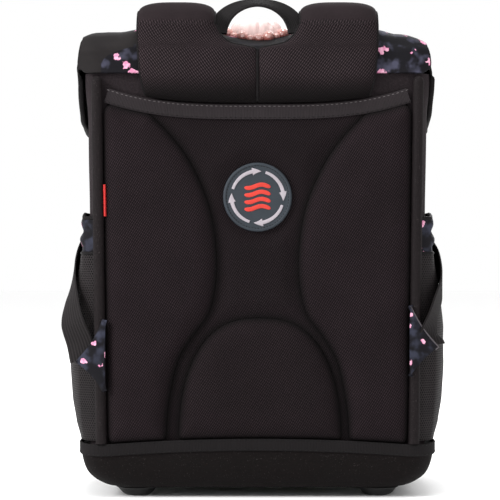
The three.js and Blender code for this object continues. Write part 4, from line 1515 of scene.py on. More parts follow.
def inside(points: Array, outline: Array) -> Array:
    """Whether each point of a plane lies inside a closed outline.

    Args:
        points: points in the plane.
        outline: corners of the outline, in order.

    Returns:
        One answer for each point.
    """
    x, y = points[:, 0], points[:, 1]
    found = np.zeros(len(points), bool)
    for (ax, ay), (bx, by) in zip(outline, np.roll(outline, -1, 0)):
        cross = (ay > y) != (by > y)
        with np.errstate(divide="ignore", invalid="ignore"):
            found ^= cross & (x < (bx - ax) * (y - ay) / (by - ay) + ax)
    return found


def even_outline(outline: Array, step: float) -> Array:
    """A closed outline with even steps, its corners rounded by moving points towards their neighbours.

    Args:
        outline: its corners.
        step: distance between the new points.

    Returns:
        The new points.
    """
    ring = np.vstack([outline, outline[:1]])
    along = np.concatenate([[0], np.cumsum(np.linalg.norm(np.diff(ring, axis=0), axis=1))])
    at = np.linspace(0, along[-1], max(12, round(along[-1] / step)) + 1)[:-1]
    ring = np.stack([np.interp(at, along, ring[:, i]) for i in range(2)], 1)
    for _ in range(2):
        ring = (np.roll(ring, 1, 0) + 2 * ring + np.roll(ring, -1, 0)) / 4
    return ring


@dataclass
class Pad:
    """A foam pad under cloth on the back: crowned, with a rounded and slightly puckered rim.

    Attributes:
        outline: its corners, across and up.
        seat: depth that it stands on.
        height: of its face over the seat.
        rim: width of its rounded rim.
        crown: further rise towards its middle.
        pucker: height of the small folds at its seam.
        step: size of its faces.
        seed: number that settles its folds.
        hem: height of its turned edge at the seam.
        fold_length: from one small fold to the next.
        sag_length: length of the soft waves of its face.
        shade_width: how far the seam's shade reaches.
    """

    outline: Array
    seat: float
    height: float
    rim: float
    crown: float = 0.8
    pucker: float = 0.22
    step: float = 2.3
    seed: int = 1
    hem: float = 1.2
    fold_length: float = 13.0
    sag_length: float = 120.0
    shade_width: float = 4.5

    def rise(self, gaps: Array, points: Array) -> Array:
        """How far the cloth stands over the seat at a distance from the seam.

        Args:
            gaps: distance of each point from the seam.
            points: their places, across and up.

        Returns:
            One rise for each point.
        """
        share = np.clip(gaps / self.rim, 0, 1)
        bulge = (1 - (1 - share) ** 2.0) ** 0.66
        crown = self.crown * smoothstep(gaps, self.rim * 0.6, self.rim * 4.5)
        fold = ripple(points[:, 0] * 1.1 + points[:, 1] * 0.9, self.fold_length, self.seed)
        fold = fold * np.exp(-((gaps - 4) / 4.5) ** 2) * self.pucker
        sag = ripple(points[:, 0] - points[:, 1] * 0.6, self.sag_length, self.seed + 5) * 0.3 * share
        return (self.height - self.crown) * bulge + crown + fold * share + sag

    def surface(self) -> Surface:
        """The pad's closed surface.

        Returns:
            The surface, with painted shade along its seams.
        """
        ring = even_outline(np.asarray(self.outline, float), self.step)
        ahead = np.roll(ring, -1, 0) - np.roll(ring, 1, 0)
        area = np.sum(ring[:, 0] * np.roll(ring[:, 1], -1) - np.roll(ring[:, 0], -1) * ring[:, 1])
        inward = np.column_stack([-ahead[:, 1], ahead[:, 0]]) * np.sign(area)
        inward /= np.linalg.norm(inward, axis=1, keepdims=True)
        kept = []
        ladder = [share * self.rim for share in (0.03, 0.09, 0.18, 0.32, 0.5, 0.72, 1.0)]
        for distance in ladder:
            moved = ring + inward * distance
            near = outline_gap(moved, ring)
            kept.append(moved[(near > distance * 0.97) & inside(moved, ring)])
        low, high = ring.min(0), ring.max(0)
        rows = np.arange(low[1], high[1], self.step * 0.866)
        hexes = np.array([
            (x + (i % 2) * self.step / 2, z)
            for i, z in enumerate(rows)
            for x in np.arange(low[0], high[0], self.step)
        ])
        near = outline_gap(hexes, ring)
        hexes = hexes[inside(hexes, ring) & (near > self.rim + self.step * 0.6)]
        flat = np.vstack([ring, *kept, hexes])
        count = len(ring)
        edges = [(i, (i + 1) % count) for i in range(count)]
        points, _, faces, *_ = delaunay_2d_cdt([Vector(p) for p in flat], edges, [], 1, 1e-5)
        plane = np.array([tuple(p) for p in points])
        gaps = outline_gap(plane, ring)
        gaps[:count] = 0
        rise = self.rise(gaps, plane)
        surface = Surface()
        hem = self.seat - self.hem
        surface.points = [(x, hem - max(0.0, r - self.hem), z) if g > 1e-6 else (x, hem, z)
                          for (x, z), r, g in zip(plane, rise, gaps)]
        surface.faces = [tuple(face) for face in faces]
        surface.flats = [(surface.points[i][0], surface.points[i][2]) for face in surface.faces for i in face]
        rim = [i for i in range(len(plane)) if gaps[i] < 1e-6]
        rim.sort(key=lambda i: int(np.argmin(np.sum((ring - plane[i]) ** 2, 1))))
        first = len(surface.points)
        tuck = [(plane[i][0], self.seat, plane[i][1]) for i in rim]
        surface.points.extend(tuck)
        size = len(rim)
        for i in range(size):
            n = (i + 1) % size
            surface.faces.append((rim[i], rim[n], first + n, first + i))
            surface.flats.extend([(plane[k][0], plane[k][1]) for k in (rim[i], rim[n], rim[n], rim[i])])
        _, _, under, *_ = delaunay_2d_cdt([Vector(plane[i]) for i in rim],
                                          [(i, (i + 1) % size) for i in range(size)], [], 1, 1e-6)
        for face in under:
            surface.faces.append(tuple(first + i for i in reversed(face)))
            surface.flats.extend([(tuck[i][0], tuck[i][2]) for i in reversed(face)])
        # Painted shade: darkest at the seam, and full on the tucked rim.
        depth = self.shadow(plane, gaps)
        surface.recess = np.concatenate([depth, np.ones(size)])
        return surface

    def shadow(self, points: Array, gaps: Array) -> Array:
        """How much painted seam shade lies on each point."""
        return np.clip(1 - gaps / self.shade_width, 0, 1) ** 1.2


@dataclass
class Panel(Pad):
    """The mesh panel behind the pads, which swells a little between them and round the badge.

    Attributes:
        pads: outlines of the pads that are sewn on it.
        badge: middle of the badge, across and up.
        badge_clear: distances from that middle between which the swell starts and is full.
        swell: height of the swell.
        shade_width: how far the shade beside the pads reaches.
    """

    pads: Sequence[Array] = ()
    badge: tuple[float, float] = (0.0, 249.8)
    badge_clear: tuple[float, float] = (29.0, 44.0)
    swell: float = 3.2
    shade_width: float = 6.5

    def near(self, points: Array) -> Array:
        """Distance of points from the nearest pad, 0 under it.

        Args:
            points: their places, across and up.

        Returns:
            One distance for each point.
        """
        near = np.full(len(points), 1e3)
        for pad in self.pads:
            gap = np.where(inside(points, pad), 0, outline_gap(points, pad))
            near = np.minimum(near, gap)
        return near

    def rise(self, gaps: Array, points: Array) -> Array:
        """How far the cloth stands over the seat at a distance from the seam.

        Args:
            gaps: distance of each point from the seam.
            points: their places, across and up.

        Returns:
            One rise for each point.
        """
        clear = np.linalg.norm(points - np.array(self.badge), axis=1)
        swell = self.swell * smoothstep(self.near(points), 1.0, 17.0) * smoothstep(clear, *self.badge_clear)
        swell = swell * smoothstep(gaps, 0.0, 14.0)
        swell = swell * smoothstep(BOX.pad_top(points[:, 0]) - points[:, 1], 0.5, 15.0)
        swell = swell * smoothstep(points[:, 1] - BOX.pad_bottom(points[:, 0]), 0.5, 9.0)
        return super().rise(gaps, points) + swell

    def shadow(self, points: Array, gaps: Array) -> Array:
        """How much painted shade beside the pads lies on each point."""
        return np.clip(1 - self.near(points) / self.shade_width, 0, 1) ** 1.1


@dataclass
class Back:
    """The back: mesh panel, two wing pads, lumbar pad, tape, rolls, badge and tag."""

    thickness: float = 11.0
    rim: float = 17.0
    lumbar_half: float = 67.0
    lumbar_height: float = 99.0
    lumbar_shift: float = 2.0
    tape: float = 1.4
    flap_seam: float = 353.0
    badge_radius: float = 28.4
    badge_height: float = 249.8
    badge_thickness: float = 3.1
    badge_face: float = 0.78
    badge_ring: float = 0.755
    badge_seam: float = 0.91
    tag_height: float = 247.0
    tag_length: float = 26.0

    badge_profile: tuple[tuple[float, float], ...] = (
        (0.9, 0), (1.0, 0.35), (0.995, 0.8), (0.965, 1), (0.93, 0.99), (0.9, 0.8), (0.8, 0.76), (0.5, 0.78),
        (0.03, 0.8),
    )
    wing_edge: tuple[tuple[float, float], ...] = (
        (1, 0.71), (0.955, 0.6), (0.893, 0.487), (0.833, 0.413), (0.766, 0.35), (0.69, 0.302), (0.588, 0.275),
        (0.512, 0.273), (0.44, 0.294), (0.382, 0.333), (0.32, 0.433), (0.247, 0.524), (0.161, 0.569),
        (0.082, 0.594), (0, 0.603),
    )

    def wing_outline(self, side: Side) -> Array:
        """Outline of a wing pad.

        Args:
            side: of the bag.

        Returns:
            Its corners, across and up.
        """
        half = BOX.pad_half
        edge = spline(np.array(self.wing_edge), 60)
        x = edge[:, 1] * half
        parts = [np.column_stack([x, mix(BOX.pad_bottom(x), BOX.pad_top(x), edge[:, 0])])]
        low = np.array([0.75, 0.9, 0.97]) * half
        parts.append(np.column_stack([low, BOX.pad_bottom(low)]))
        rise = np.linspace(0.02, 0.98, 24)
        z = mix(BOX.pad_bottom(half), BOX.pad_top(half), rise)
        x = BOX.side(z) - BOX.roll_inset - BOX.roll - 0.5 - 2.4 * np.maximum(0, 0.25 - rise)
        parts.append(np.column_stack([x, z]))
        high = np.linspace(0.975, 0.74, 12) * half
        parts.append(np.column_stack([high, BOX.pad_top(high)]))
        outline = np.vstack(parts)
        outline[:, 0] *= side.value
        return outline

    def lumbar_outline(self) -> Array:
        """Outline of the lumbar pad: an arch on the base tape.

        Returns:
            Its corners, across and up.
        """
        angle = np.linspace(0, math.pi, 60)
        x = np.sign(np.cos(angle)) * np.abs(np.cos(angle)) ** 0.75 * self.lumbar_half
        z = BOX.pad_bottom(x) + np.sin(angle) ** 0.92 * self.lumbar_height
        low = np.linspace(-0.96, 0.96, 18) * self.lumbar_half
        return np.vstack([np.column_stack([x + self.lumbar_shift, z]),
                          np.column_stack([low + self.lumbar_shift, BOX.pad_bottom(low)])])

    def panel_outline(self) -> Array:
        """Outline of the mesh panel behind the pads.

        Returns:
            Its corners, across and up.
        """
        half = BOX.pad_half - 1.5
        x = np.linspace(-1, 1, 31) * half
        top = np.column_stack([x, BOX.yoke_tape(x) + BOX.yoke_width / 2 - 1])
        low = BOX.base_top + BOX.gap + 1
        return np.vstack([top[::-1], [(-half, low), (half, low)]])

    def roll(self, side: Side) -> Surface:
        """A padded roll down one rear edge, closed by a round end under the lid.

        Args:
            side: of the bag.

        Returns:
            The closed surface.
        """
        low = BOX.base_tape(BOX.width / 2) + BOX.tape_width / 2 + BOX.gap
        high = self.flap_seam - 3
        heights = np.concatenate([np.linspace(low, high - BOX.roll, 60),
                                  high - BOX.roll * (1 - np.sin(np.linspace(0.15, 1.45, 9)))])
        x = side.value * (BOX.side(heights) - BOX.roll_inset)
        y = np.full(len(heights), BOX.back - BOX.gap - BOX.roll)
        path = np.column_stack([x, y, heights])
        near = np.clip((high - heights) / BOX.roll, 0, 1)
        size = np.sqrt(np.clip(1 - (1 - near) ** 2, 0.02, 1))
        size = size * (1 + 0.03 * ripple(heights, 70, 11 + side.value))
        sections = oval(2 * BOX.roll, 2 * BOX.roll, 28, 2.15)[None] * size[:, None, None]
        return sweep(path, np.tile((0, -1, 0), (len(heights), 1)), sections,
                     along=np.tile((0, 0, 1.0), (len(heights), 1)))

    def yoke_path(self) -> tuple[Array, Array]:
        """Middle line of the yoke tape.

        Returns:
            Its points and the way it faces at each.
        """
        x = np.linspace(1 - BOX.pad_half, BOX.pad_half - 1, 90)
        path = np.column_stack([x, np.full(90, BOX.seat - self.tape / 2), BOX.yoke_tape(x)])
        return path, np.tile((0.0, -1.0, 0.0), (90, 1))

    def build(self) -> None:
        """Makes the back's pieces."""
        pads = [self.wing_outline(side) for side in Side] + [self.lumbar_outline()]
        panel = Panel(self.panel_outline(), BOX.back - BOX.gap, BOX.panel, 2.4, 0.3, 0.0, 2.8, 2,
                      pads=[even_outline(pad, 4.0) for pad in pads], badge=(0.0, self.badge_height))
        mesh = make("back_panel_mesh", panel.surface(), PANEL_MESH, ["back_panel"], 60)
        for side in Side:
            wing = Pad(self.wing_outline(side), BOX.seat, self.thickness, self.rim, 1.2,
                       seed=3 + side.value)
            node = f"wing_pad_{side.word}"
            make(f"{node}_cloth", wing.surface(), AIR_MESH, [node], 75)
            node = f"edge_roll_{side.word}"
            make(f"{node}_cloth", self.roll(side), ROLL_CLOTH, [node], 75)
        lumbar = Pad(self.lumbar_outline(), BOX.seat, self.thickness, self.rim, 1.8, seed=9)
        cloth = make("lumbar_pad_cloth", lumbar.surface(), LUMBAR_MESH, ["lumbar_pad"], 75)
        path, facing = even_path(*self.yoke_path(), 2.0)
        band = oval(BOX.yoke_width, self.tape, 18, 4.5)
        make("yoke_tape_band", sweep(path, facing, band), TAPE, ["yoke_tape"], 60)
        out = self.tape / 2 - 0.05
        make("yoke_stitches_upper", stitch_row(path, facing, -4.6, 4.0, 2.4, 0.34, out), PALE_THREAD)
        make("yoke_stitches_lower", stitch_row(path, facing, 4.8, 4.0, 2.6, 0.3, out), DARK_THREAD)
        self.badge()
        self.tag()

    def badge(self) -> None:
        """Makes the round rubber badge with plain arcs and waves in relief, and its stitches."""
        seat = BOX.seat
        profile = spline(np.array(self.badge_profile), 40)
        angle = np.arange(96) / 96 * TAU
        rows = np.array([
            np.column_stack([np.cos(angle) * r * self.badge_radius,
                             np.full(96, seat - h * self.badge_thickness),
                             self.badge_height + np.sin(angle) * r * self.badge_radius])
            for r, h in profile
        ])
        disc = closed_rings(rows, (0, seat, self.badge_height), (0, rows[-1, 0, 1], self.badge_height))
        make("badge_disc", disc, Moulded(colour(33, 40, 47), 0.55, 0.12), ["badge"], 60)
        face = seat - self.badge_face * self.badge_thickness
        arcs = Surface()
        for start in range(4):
            turn = np.radians(np.concatenate([np.linspace(90 * start + 72, 90 * start + 12, 24),
                                              np.linspace(90 * start + 11.4, 90 * start - 8, 14)]))
            radius = self.badge_radius * self.badge_ring
            path = np.column_stack([np.cos(turn) * radius, np.full(38, face - 0.15),
                                    self.badge_height + np.sin(turn) * radius])
            wide = np.concatenate([np.sqrt(np.linspace(0.3, 1, 24) ** 0.5), np.linspace(2.05, 0.12, 14)])
            sections = np.repeat(oval(3.1, 1.1, 12, 3.4)[None], 38, 0)
            sections[:, :, 0] *= wide[:, None]
            arcs.join(sweep(path, np.tile((0, -1.0, 0), (38, 1)), sections))
        make("badge_arcs", arcs, Moulded(colour(152, 145, 151), 0.5, 0.05))
        waves = Surface()
        for row in (-1.5, -0.5, 0.5, 1.5):
            x = np.linspace(-10.8, 10.8, 40)
            z = self.badge_height + row * 5.9 + 1.4 * np.sin(x / 22 * TAU + 0.6)
            path = np.column_stack([x, np.full(40, face - 0.15), z])
            taper = np.sqrt(np.clip(1 - np.abs(np.linspace(-1, 1, 40)) ** 8, 0.05, 1))
            sections = oval(3.6, 1.2, 12, 3.0)[None] * taper[:, None, None]
            waves.join(sweep(path, np.tile((0, -1.0, 0), (40, 1)), sections))
        make("badge_waves", waves, Moulded(colour(186, 48, 36), 0.45, 0.05))
        turn = np.linspace(0, TAU, 120, endpoint=False)
        radius = self.badge_radius * self.badge_seam
        path = np.column_stack([np.cos(turn) * radius, np.full(120, seat - 2.72),
                                self.badge_height + np.sin(turn) * radius])
        seam = stitch_row(path, np.tile((0, -1.0, 0), (120, 1)), 0, 2.5, 1.6, 0.27, closed=True)
        make("badge_stitches", seam, DARK_THREAD)

    def tag(self) -> None:
        """Makes the red tag, a folded tape that stands out of the seam beside the left pad."""
        x = -(BOX.side(self.tag_height) - BOX.roll_inset - BOX.roll) + BOX.gap + 0.8
        along = np.linspace(0, 1, 24)
        y = BOX.seat + 0.3 - 5.6 * np.sin(along * math.pi) ** 0.7
        across = x + 0.75 * np.cos(along * math.pi)
        rows = []
        for z in np.linspace(-0.5, 0.5, 20) * self.tag_length + self.tag_height:
            lean = (z - self.tag_height) * -0.02
            rows.append(np.column_stack([across + lean, y, np.full(24, z)]))
        make("red_tag_loop", cloth_sheet(np.array(rows), 0.5), RedTape(), ["red_tag"], 60)


# The lid.


@dataclass
class Lid:
    """The lid: one printed sheet from the rear seam over the top to the clasp, with two sides."""

    thickness: float = 2.5
    top: float = 391.0
    rear: float = 353.0
    front: float = 172.0
    rear_half: float = 145.6
    top_half: float = 142.0
    curl: float = 9.0
    sag: float = 9.0
    shift: float = -2.5
    side_drop: float = 84.0
    flare: float = 5.0
    stand_off: float = 2.8
    side_thickness: float = 1.8
    side_shift: float = -1.25
    strap_inner: float = 35.5
    left_sink: float = 2.6
    right_sink: float = 4.2
    corner_tuck: float = 2.0
    corner_lift: float = 3.4
    crest_stations: tuple[float, float] = (0.05, 0.546)
    clasp_size: tuple[float, float] = (44.0, 40.0)
    clasp_depth: float = 7.6

    clasp_profile: tuple[tuple[float, float], ...] = (
        (0.94, 0), (1, 0.14), (1, 0.62), (0.96, 0.8), (0.86, 0.88), (0.7, 0.9), (0.6, 1), (0.3, 1.04),
        (0.03, 1.05),
    )
    profile: tuple[tuple[float, float, float, float], ...] = (
        (0, 0, 1, 1), (0, 0.3, 0.7, 1), (0.012, 0.6, 0.4, 1), (0.07, 0.86, 0.1, 1), (0.2, 0.98, 0, 1),
        (0.42, 1, 0, 1), (0.64, 0.98, 0.05, 1), (0.83, 0.89, 0.1, 0.9), (0.955, 0.66, 0.15, 0.7),
        (0.996, 0.25, 0.2, 0.4), (1, -0.16, 0.2, 0.2), (1, -0.5, 0.1, 0.15), (1, -0.78, -0.1, 0.15),
        (1, -1, -0.3, 0.15),
    )
    side_rows: tuple[tuple[float, float, float], ...] = (
        (0.07, 0.068, 0.5), (0.13, 0.075, 0.55), (0.19, 0.1, 0.66), (0.27, 0.18, 0.82), (0.35, 0.33, 0.94),
        (0.43, 0.5, 0.99), (0.5, 0.68, 1), (0.56, 0.82, 1), (0.62, 0.93, 1),
    )

    def place(self, station: float) -> Array:
        """Measures of the lid at a station.

        Args:
            station: from the rear seam to the front edge.

        Returns:
            Depth, height, half width and curl.
        """
        along, up, wide, curl = spline_at(np.array(self.profile), station)
        rear, front = BOX.back - BOX.gap - self.thickness, BOX.front + BOX.gap + self.thickness + 1.2
        z = self.rear + up * ((self.top - self.rear) if up > 0 else (self.rear - self.front))
        y = mix(rear, front, max(0.0, along))
        return np.array([y, z, mix(self.top_half, self.rear_half, wide), curl])

    def run(self, station: float) -> Array:
        """The way the lid runs at a station.

        Args:
            station: from the rear seam to the front edge.

        Returns:
            A unit vector, deep and up.
        """
        ahead, behind = self.place(min(1, station + 0.01)), self.place(max(0, station - 0.01))
        way = (ahead - behind)[:2]
        return way / np.linalg.norm(way)

    def point(self, station: float, share: float, under: float = 0.0) -> Array:
        """A place on the lid.

        Args:
            station: from the rear seam to the front edge.
            share: across it, from -1 to 1.
            under: how far below its face.

        Returns:
            The place.
        """
        y, z, half, curl = self.place(station)
        way = self.run(station)
        curl *= 1 - (0.62 if share < 0 else 0.45) * (1 - smoothstep(station, 0.2, 0.38))
        down = self.curl * curl * max(0.0, (abs(share) - 0.85) / 0.15) ** 2.2 + under
        x = self.shift + half * share
        dip = self.sag * smoothstep(z, mix(self.rear, self.top, 0.4), self.top - 3) \
            * math.exp(-(x / self.strap_inner) ** 2)
        sink = self.right_sink if x > 0 else self.left_sink
        ease = sink * smoothstep(abs(x), 98, 116) - 1.6 * smoothstep(-x, 128, 140)
        dip += ease * smoothstep(z, mix(self.rear, self.top, 0.3), self.top - 2)
        tuck = smoothstep(abs(share), 0.95, 1.0) ** 1.5 * (1 - smoothstep(station, 0.0, 0.06))
        x -= math.copysign(self.corner_tuck * tuck, share)
        return np.array([x, y + way[1] * down, z - way[0] * down - dip + self.corner_lift * tuck])

    def height(self, x: float, y: float) -> float:
        """Height of the lid's top face at a place.

        Args:
            x: across the bag.
            y: deep in the bag.

        Returns:
            The height.
        """
        low, high = self.crest_stations
        for _ in range(30):
            middle = (low + high) / 2
            low, high = (middle, high) if self.place(middle)[0] < y else (low, middle)
        z = self.place(low)[1]
        dip = self.sag * smoothstep(z, mix(self.rear, self.top, 0.4), self.top - 3)
        return z - dip * math.exp(-(x / self.strap_inner) ** 2)

    def panel_rows(self) -> Array:
        """Grid of the panel's face, with the soft waves of cloth over board.

        Returns:
            The grid.
        """
        shares = np.concatenate([np.linspace(-1, -0.82, 9)[:-1], np.linspace(-0.82, 0.82, 54),
                                 np.linspace(0.82, 1, 9)[1:]])
        rows = []
        for station in np.linspace(0, 1, 110):
            way = self.run(station)
            row = []
            for share in shares:
                base = self.point(station, share)
                lift = 0.45 * ripple(np.array([share * 90 + station * 160]), 75, 21)[0]
                lift += 0.3 * ripple(np.array([station * 420 - share * 60]), 60, 22)[0]
                lift *= min(1, station * 8) * min(1, (1 - station) * 14)
                row.append(base + np.array([0, -way[1], way[0]]) * lift)
            rows.append(row)
        return np.array(rows)

    def side_grid(self, side: Side) -> Array:
        """Grid of one of the lid's sides, from its upper seam to its free edge.

        Args:
            side: of the bag.

        Returns:
            The grid.
        """
        rows = []
        for station, back, low in spline(np.array(self.side_rows), 44):
            high = self.point(station, side.value, self.thickness + 0.2)
            z = self.top - self.side_drop * low
            foot = np.array([side.value * (BOX.side(z) + self.stand_off) + self.side_shift,
                             mix(BOX.back - 1.8, BOX.front - 4, back), z])
            row = []
            for share in np.linspace(0, 1, 20):
                spot = mix(high, foot, share)
                spot[0] += side.value * self.flare * smoothstep(back, -0.1, 0.4) * math.sin(math.pi * share)
                spot[0] += 0.7 * ripple(np.array([back * 180.0]), 64, 30 + side.value)[0] * share
                row.append(spot)
            rows.append(row)
        return np.array(rows)

    def edge_path(self, side: Side) -> tuple[Array, Array]:
        """Line of the panel's side edge.

        Args:
            side: of the bag.

        Returns:
            Its points and the way the panel faces at each.
        """
        spots, looks = [], []
        for station in np.linspace(0.0, 0.995, 150):
            spots.append(self.point(station, side.value, self.thickness / 2))
            way = self.run(station)
            looks.append((side.value * 0.6, -way[1], way[0]))
        return np.array(spots), np.array(looks, float)

    def clasp(self) -> Surface:
        """The clasp: one smooth moulded block with a raised middle.

        Returns:
            The closed surface.
        """
        outline = oval(*self.clasp_size, 48, 4.6)
        profile = spline(np.array(self.clasp_profile), 30)
        middle = np.array([self.shift, BOX.front + 4.3, self.front + 4.0])
        rows = np.array([
            np.column_stack([middle[0] + outline[:, 0] * r, np.full(48, middle[1] + h * self.clasp_depth),
                             middle[2] + outline[:, 1] * r])
            for r, h in profile
        ])
        return closed_rings(rows, middle, (middle[0], rows[-1, 0, 1], middle[2]))

    def build(self) -> None:
        """Makes the panel, its bound edges, the two sides, the seams and the clasp."""
        sheet = cloth_sheet(self.panel_rows(), self.thickness, -1)
        panel = make("flap_panel_cloth", sheet, LID_PRINT, ["flap_panel"], 60)
        for side in Side:
            grid = self.side_grid(side)
            piece = make(f"flap_side_{side.word}_cloth", cloth_sheet(grid, self.side_thickness, 1), LINING,
                         [f"flap_side_{side.word}"], 60)
            spots, looks = even_path(*self.edge_path(side), 3.0)
            make(f"flap_binding_{side.word}", sweep(spots, looks, oval(4.6, 4.4, 14, 2.6)), BINDING)
            free = even_path(grid[:, -1], np.tile((side.value, 0.0, 0.0), (len(grid), 1)), 3.0)
            make(f"flap_side_binding_{side.word}", sweep(*free, oval(3.2, 4.4, 12, 2.6)), BINDING)
        self.seams()
        make("flap_clasp_block", self.clasp(), PLASTIC, ["flap_clasp"], 60)

    def seams(self) -> None:
        """Makes the stitches beside the bound edges and above the front edge."""
        stitches = Surface()
        stations = np.linspace(0.1, 0.985, 160)
        for share in (-0.955, 0.955):
            path = np.array([self.point(s, share, -0.15) for s in stations])
            looks = np.array([(0, -self.run(s)[1], self.run(s)[0]) for s in stations], float)
            stitches.join(stitch_row(path, looks, 0, 3.8, 2.5, 0.28))
        shares = np.linspace(-0.95, 0.95, 120)
        path = np.array([self.point(0.985, s, -0.15) for s in shares])
        stitches.join(stitch_row(path, np.tile((0.0, 1.0, 0.0), (120, 1)), 0, 3.8, 2.5, 0.28))
        make("flap_stitches", stitches, DARK_THREAD)


# Straps, handle, webbing and tabs.


@dataclass
class Strap:
    """A padded strap: from the yoke seam up the back, over a fold, and down on the lid."""

    lid: Lid
    inner: float = 35.5
    width: float = 63.5
    thickness: float = 12.5
    top: float = 412.5
    fold: float = 20.0
    crown: float = 2.0
    end_height: float = 262.0
    end_width: float = 46.0
    spread: float = 30.0
    buckle_drop: float = 18.7
    buckle_width: float = 34.0
    buckle_height: float = 36.0
    buckle_pitch: float = 11.6

    rear: tuple[tuple[float, float, float, float, float], ...] = (
        (0, 0.04, 0.4, 0.01, 0.935), (0.05, 0.05, 0.85, 0.01, 0.945), (0.18, 0.16, 1.02, 0.01, 0.965),
        (0.3, 0.29, 1.05, 0.01, 0.98), (0.5, 0.3, 1.05, 0.01, 0.995), (0.54, 0.3, 1.04, 0.2, 0.997),
        (0.58, 0.3, 1.03, 0.62, 1), (0.66, 0.3, 1.02, 0.86, 1), (0.76, 0.3, 1, 0.97, 1),
    )

    def section(self, middle: Array, across: Array, up: Array, width: float, thickness: float,
                crown: float, count: int = 20) -> Array:
        """One closed ring of the strap.

        Args:
            middle: of the ring.
            across: unit vector over the strap's width.
            up: unit vector out of its upper face.
            width: of the strap.
            thickness: of the strap at its middle.
            crown: how far its edges droop.
            count: spans over its width.

        Returns:
            The ring's points.
        """
        shares = -np.cos(np.linspace(0, math.pi, count + 1))
        shares = np.sign(shares) * np.abs(shares) ** 0.85
        round_by = np.sqrt(np.clip(1 - np.abs(shares) ** 3.2, 0, 1))
        lift = thickness / 2 * round_by
        droop = crown * (round_by - 1)
        upper = [middle + across * width / 2 * s + up * (a + d) for s, a, d in zip(shares, lift, droop)]
        lower = [middle + across * width / 2 * s + up * (d - a) for s, a, d in zip(shares, lift, droop)]
        return np.array(upper + lower[-2:0:-1])

    def rings(self, side: Side) -> Array:
        """All the rings of one strap.

        Args:
            side: of the bag.

        Returns:
            The rings, from the yoke seam to the buckle.
        """
        out = []
        yoke_seat = BOX.yoke_height + BOX.yoke_width / 2 + 1.4
        outer = self.inner + self.width
        way = side.value
        for rise, off, thick, near, far in spline(np.array(self.rear), 46):
            low, high = max(0.3, near * self.inner), outer * far
            middle_x, half = (low + high) / 2, (high - low) / 2
            y = BOX.back - BOX.gap - off * self.thickness - thick * self.thickness / 2
            z = mix(yoke_seat, self.top, rise)
            seam = max(0.0, 1 - rise / 0.25)
            ring = self.section(np.array([way * middle_x, y, z]), np.array([float(way), 0, 0]),
                                np.array([0, -1.0, 0]), half * 2, self.thickness * thick, 0.0)
            ring[:, 2] += seam * (BOX.yoke_tape(ring[:, 0]) - BOX.yoke_height)
            ring[:, 1] -= 0.3 * ripple(ring[:, 0] * 0.8 + ring[:, 2], 36, 40 + way) * min(1, rise * 6)
            out.append(ring)
        x = way * (self.inner + self.width / 2)
        for turn in np.radians(np.linspace(14, 92, 12)):
            middle = np.array([x, BOX.back + 9.7 - self.fold * math.cos(turn),
                               self.top - self.thickness / 2 - self.fold + self.fold * math.sin(turn)])
            up = np.array([0, -math.cos(turn), math.sin(turn)])
            wave = 0.35 * ripple(np.array([turn * 20.0]), 20, 44 + way)[0]
            out.append(self.section(middle + up * wave, np.array([float(way), 0, 0]), up, self.width,
                                    self.thickness, self.crown * smoothstep(turn, 0.0, 0.9)))
        start = next(s for s in np.linspace(0.05, 0.6, 600) if self.lid.place(s)[0] > -52)
        end = next(s for s in np.linspace(0.6, 1, 600) if self.lid.place(s)[1] < self.end_height)
        for share in np.linspace(0, 1, 46):
            station = mix(start, end, share)
            y, z, _, _ = self.lid.place(station)
            run = self.lid.run(station)
            up = np.array([0, -run[1], run[0]])
            thick = self.thickness * mix(1, 0.65, share)
            close = 1 if share < 0.97 else 0.8
            middle = np.array([way * (self.inner + self.width / 2 + self.spread * share ** 2.5), y, z])
            slip = 2.5 * self.spread * share ** 1.5
            along = np.array([way * slip / 190, run[0], run[1]])
            across = np.cross(up, along)
            across *= math.copysign(1, across[0] * way) / np.linalg.norm(across)
            width = mix(self.width, self.end_width, share ** 1.5)
            out.append(self.section(middle + up * (thick / 2 + 1.2), across, up, width, thick * close,
                                    self.crown * (1 - share)))
        return np.array(out)

    def surface(self, side: Side) -> Surface:
        """One strap's closed surface, with its flat measures along and across, and painted shade on its lower
        rear part.

        Args:
            side: of the bag.

        Returns:
            The surface.
        """
        rings = self.rings(side)
        surface = closed_rings(rings)
        points = rings.reshape(-1, 3)
        # Painted shade: behind the back, the strap darkens below the lid seam where it turns under.
        turned = 1 - smoothstep(points[:, 2], 333.0, 353.0)
        surface.recess = np.where(points[:, 1] < BOX.back, turned, 0.0)
        return surface

    def end(self, side: Side) -> tuple[Array, float]:
        """Middle of a strap's last ring, and the angle at which the strap runs there.

        Args:
            side: of the bag.

        Returns:
            The middle, and the angle in radians.
        """
        rings = self.rings(side)
        middle = rings[-1].mean(0)
        lean = middle - rings[-6].mean(0)
        return middle, math.atan2(lean[0], -lean[2])

    def piping(self, side: Side) -> Surface:
        """A thin bound seam along both edges of a strap.

        Args:
            side: of the bag.

        Returns:
            The surface.
        """
        rings = self.rings(side)
        count = (rings.shape[1] + 2) // 2
        surface = Surface()
        for column, out in ((0, -1), (count - 1, 1)):
            path = rings[3:, column]
            facing = rings[3:, column] - rings[3:].mean(1)
            surface.join(sweep(*even_path(path, facing, 3.0), oval(2.0, 2.2, 8)))
        return surface

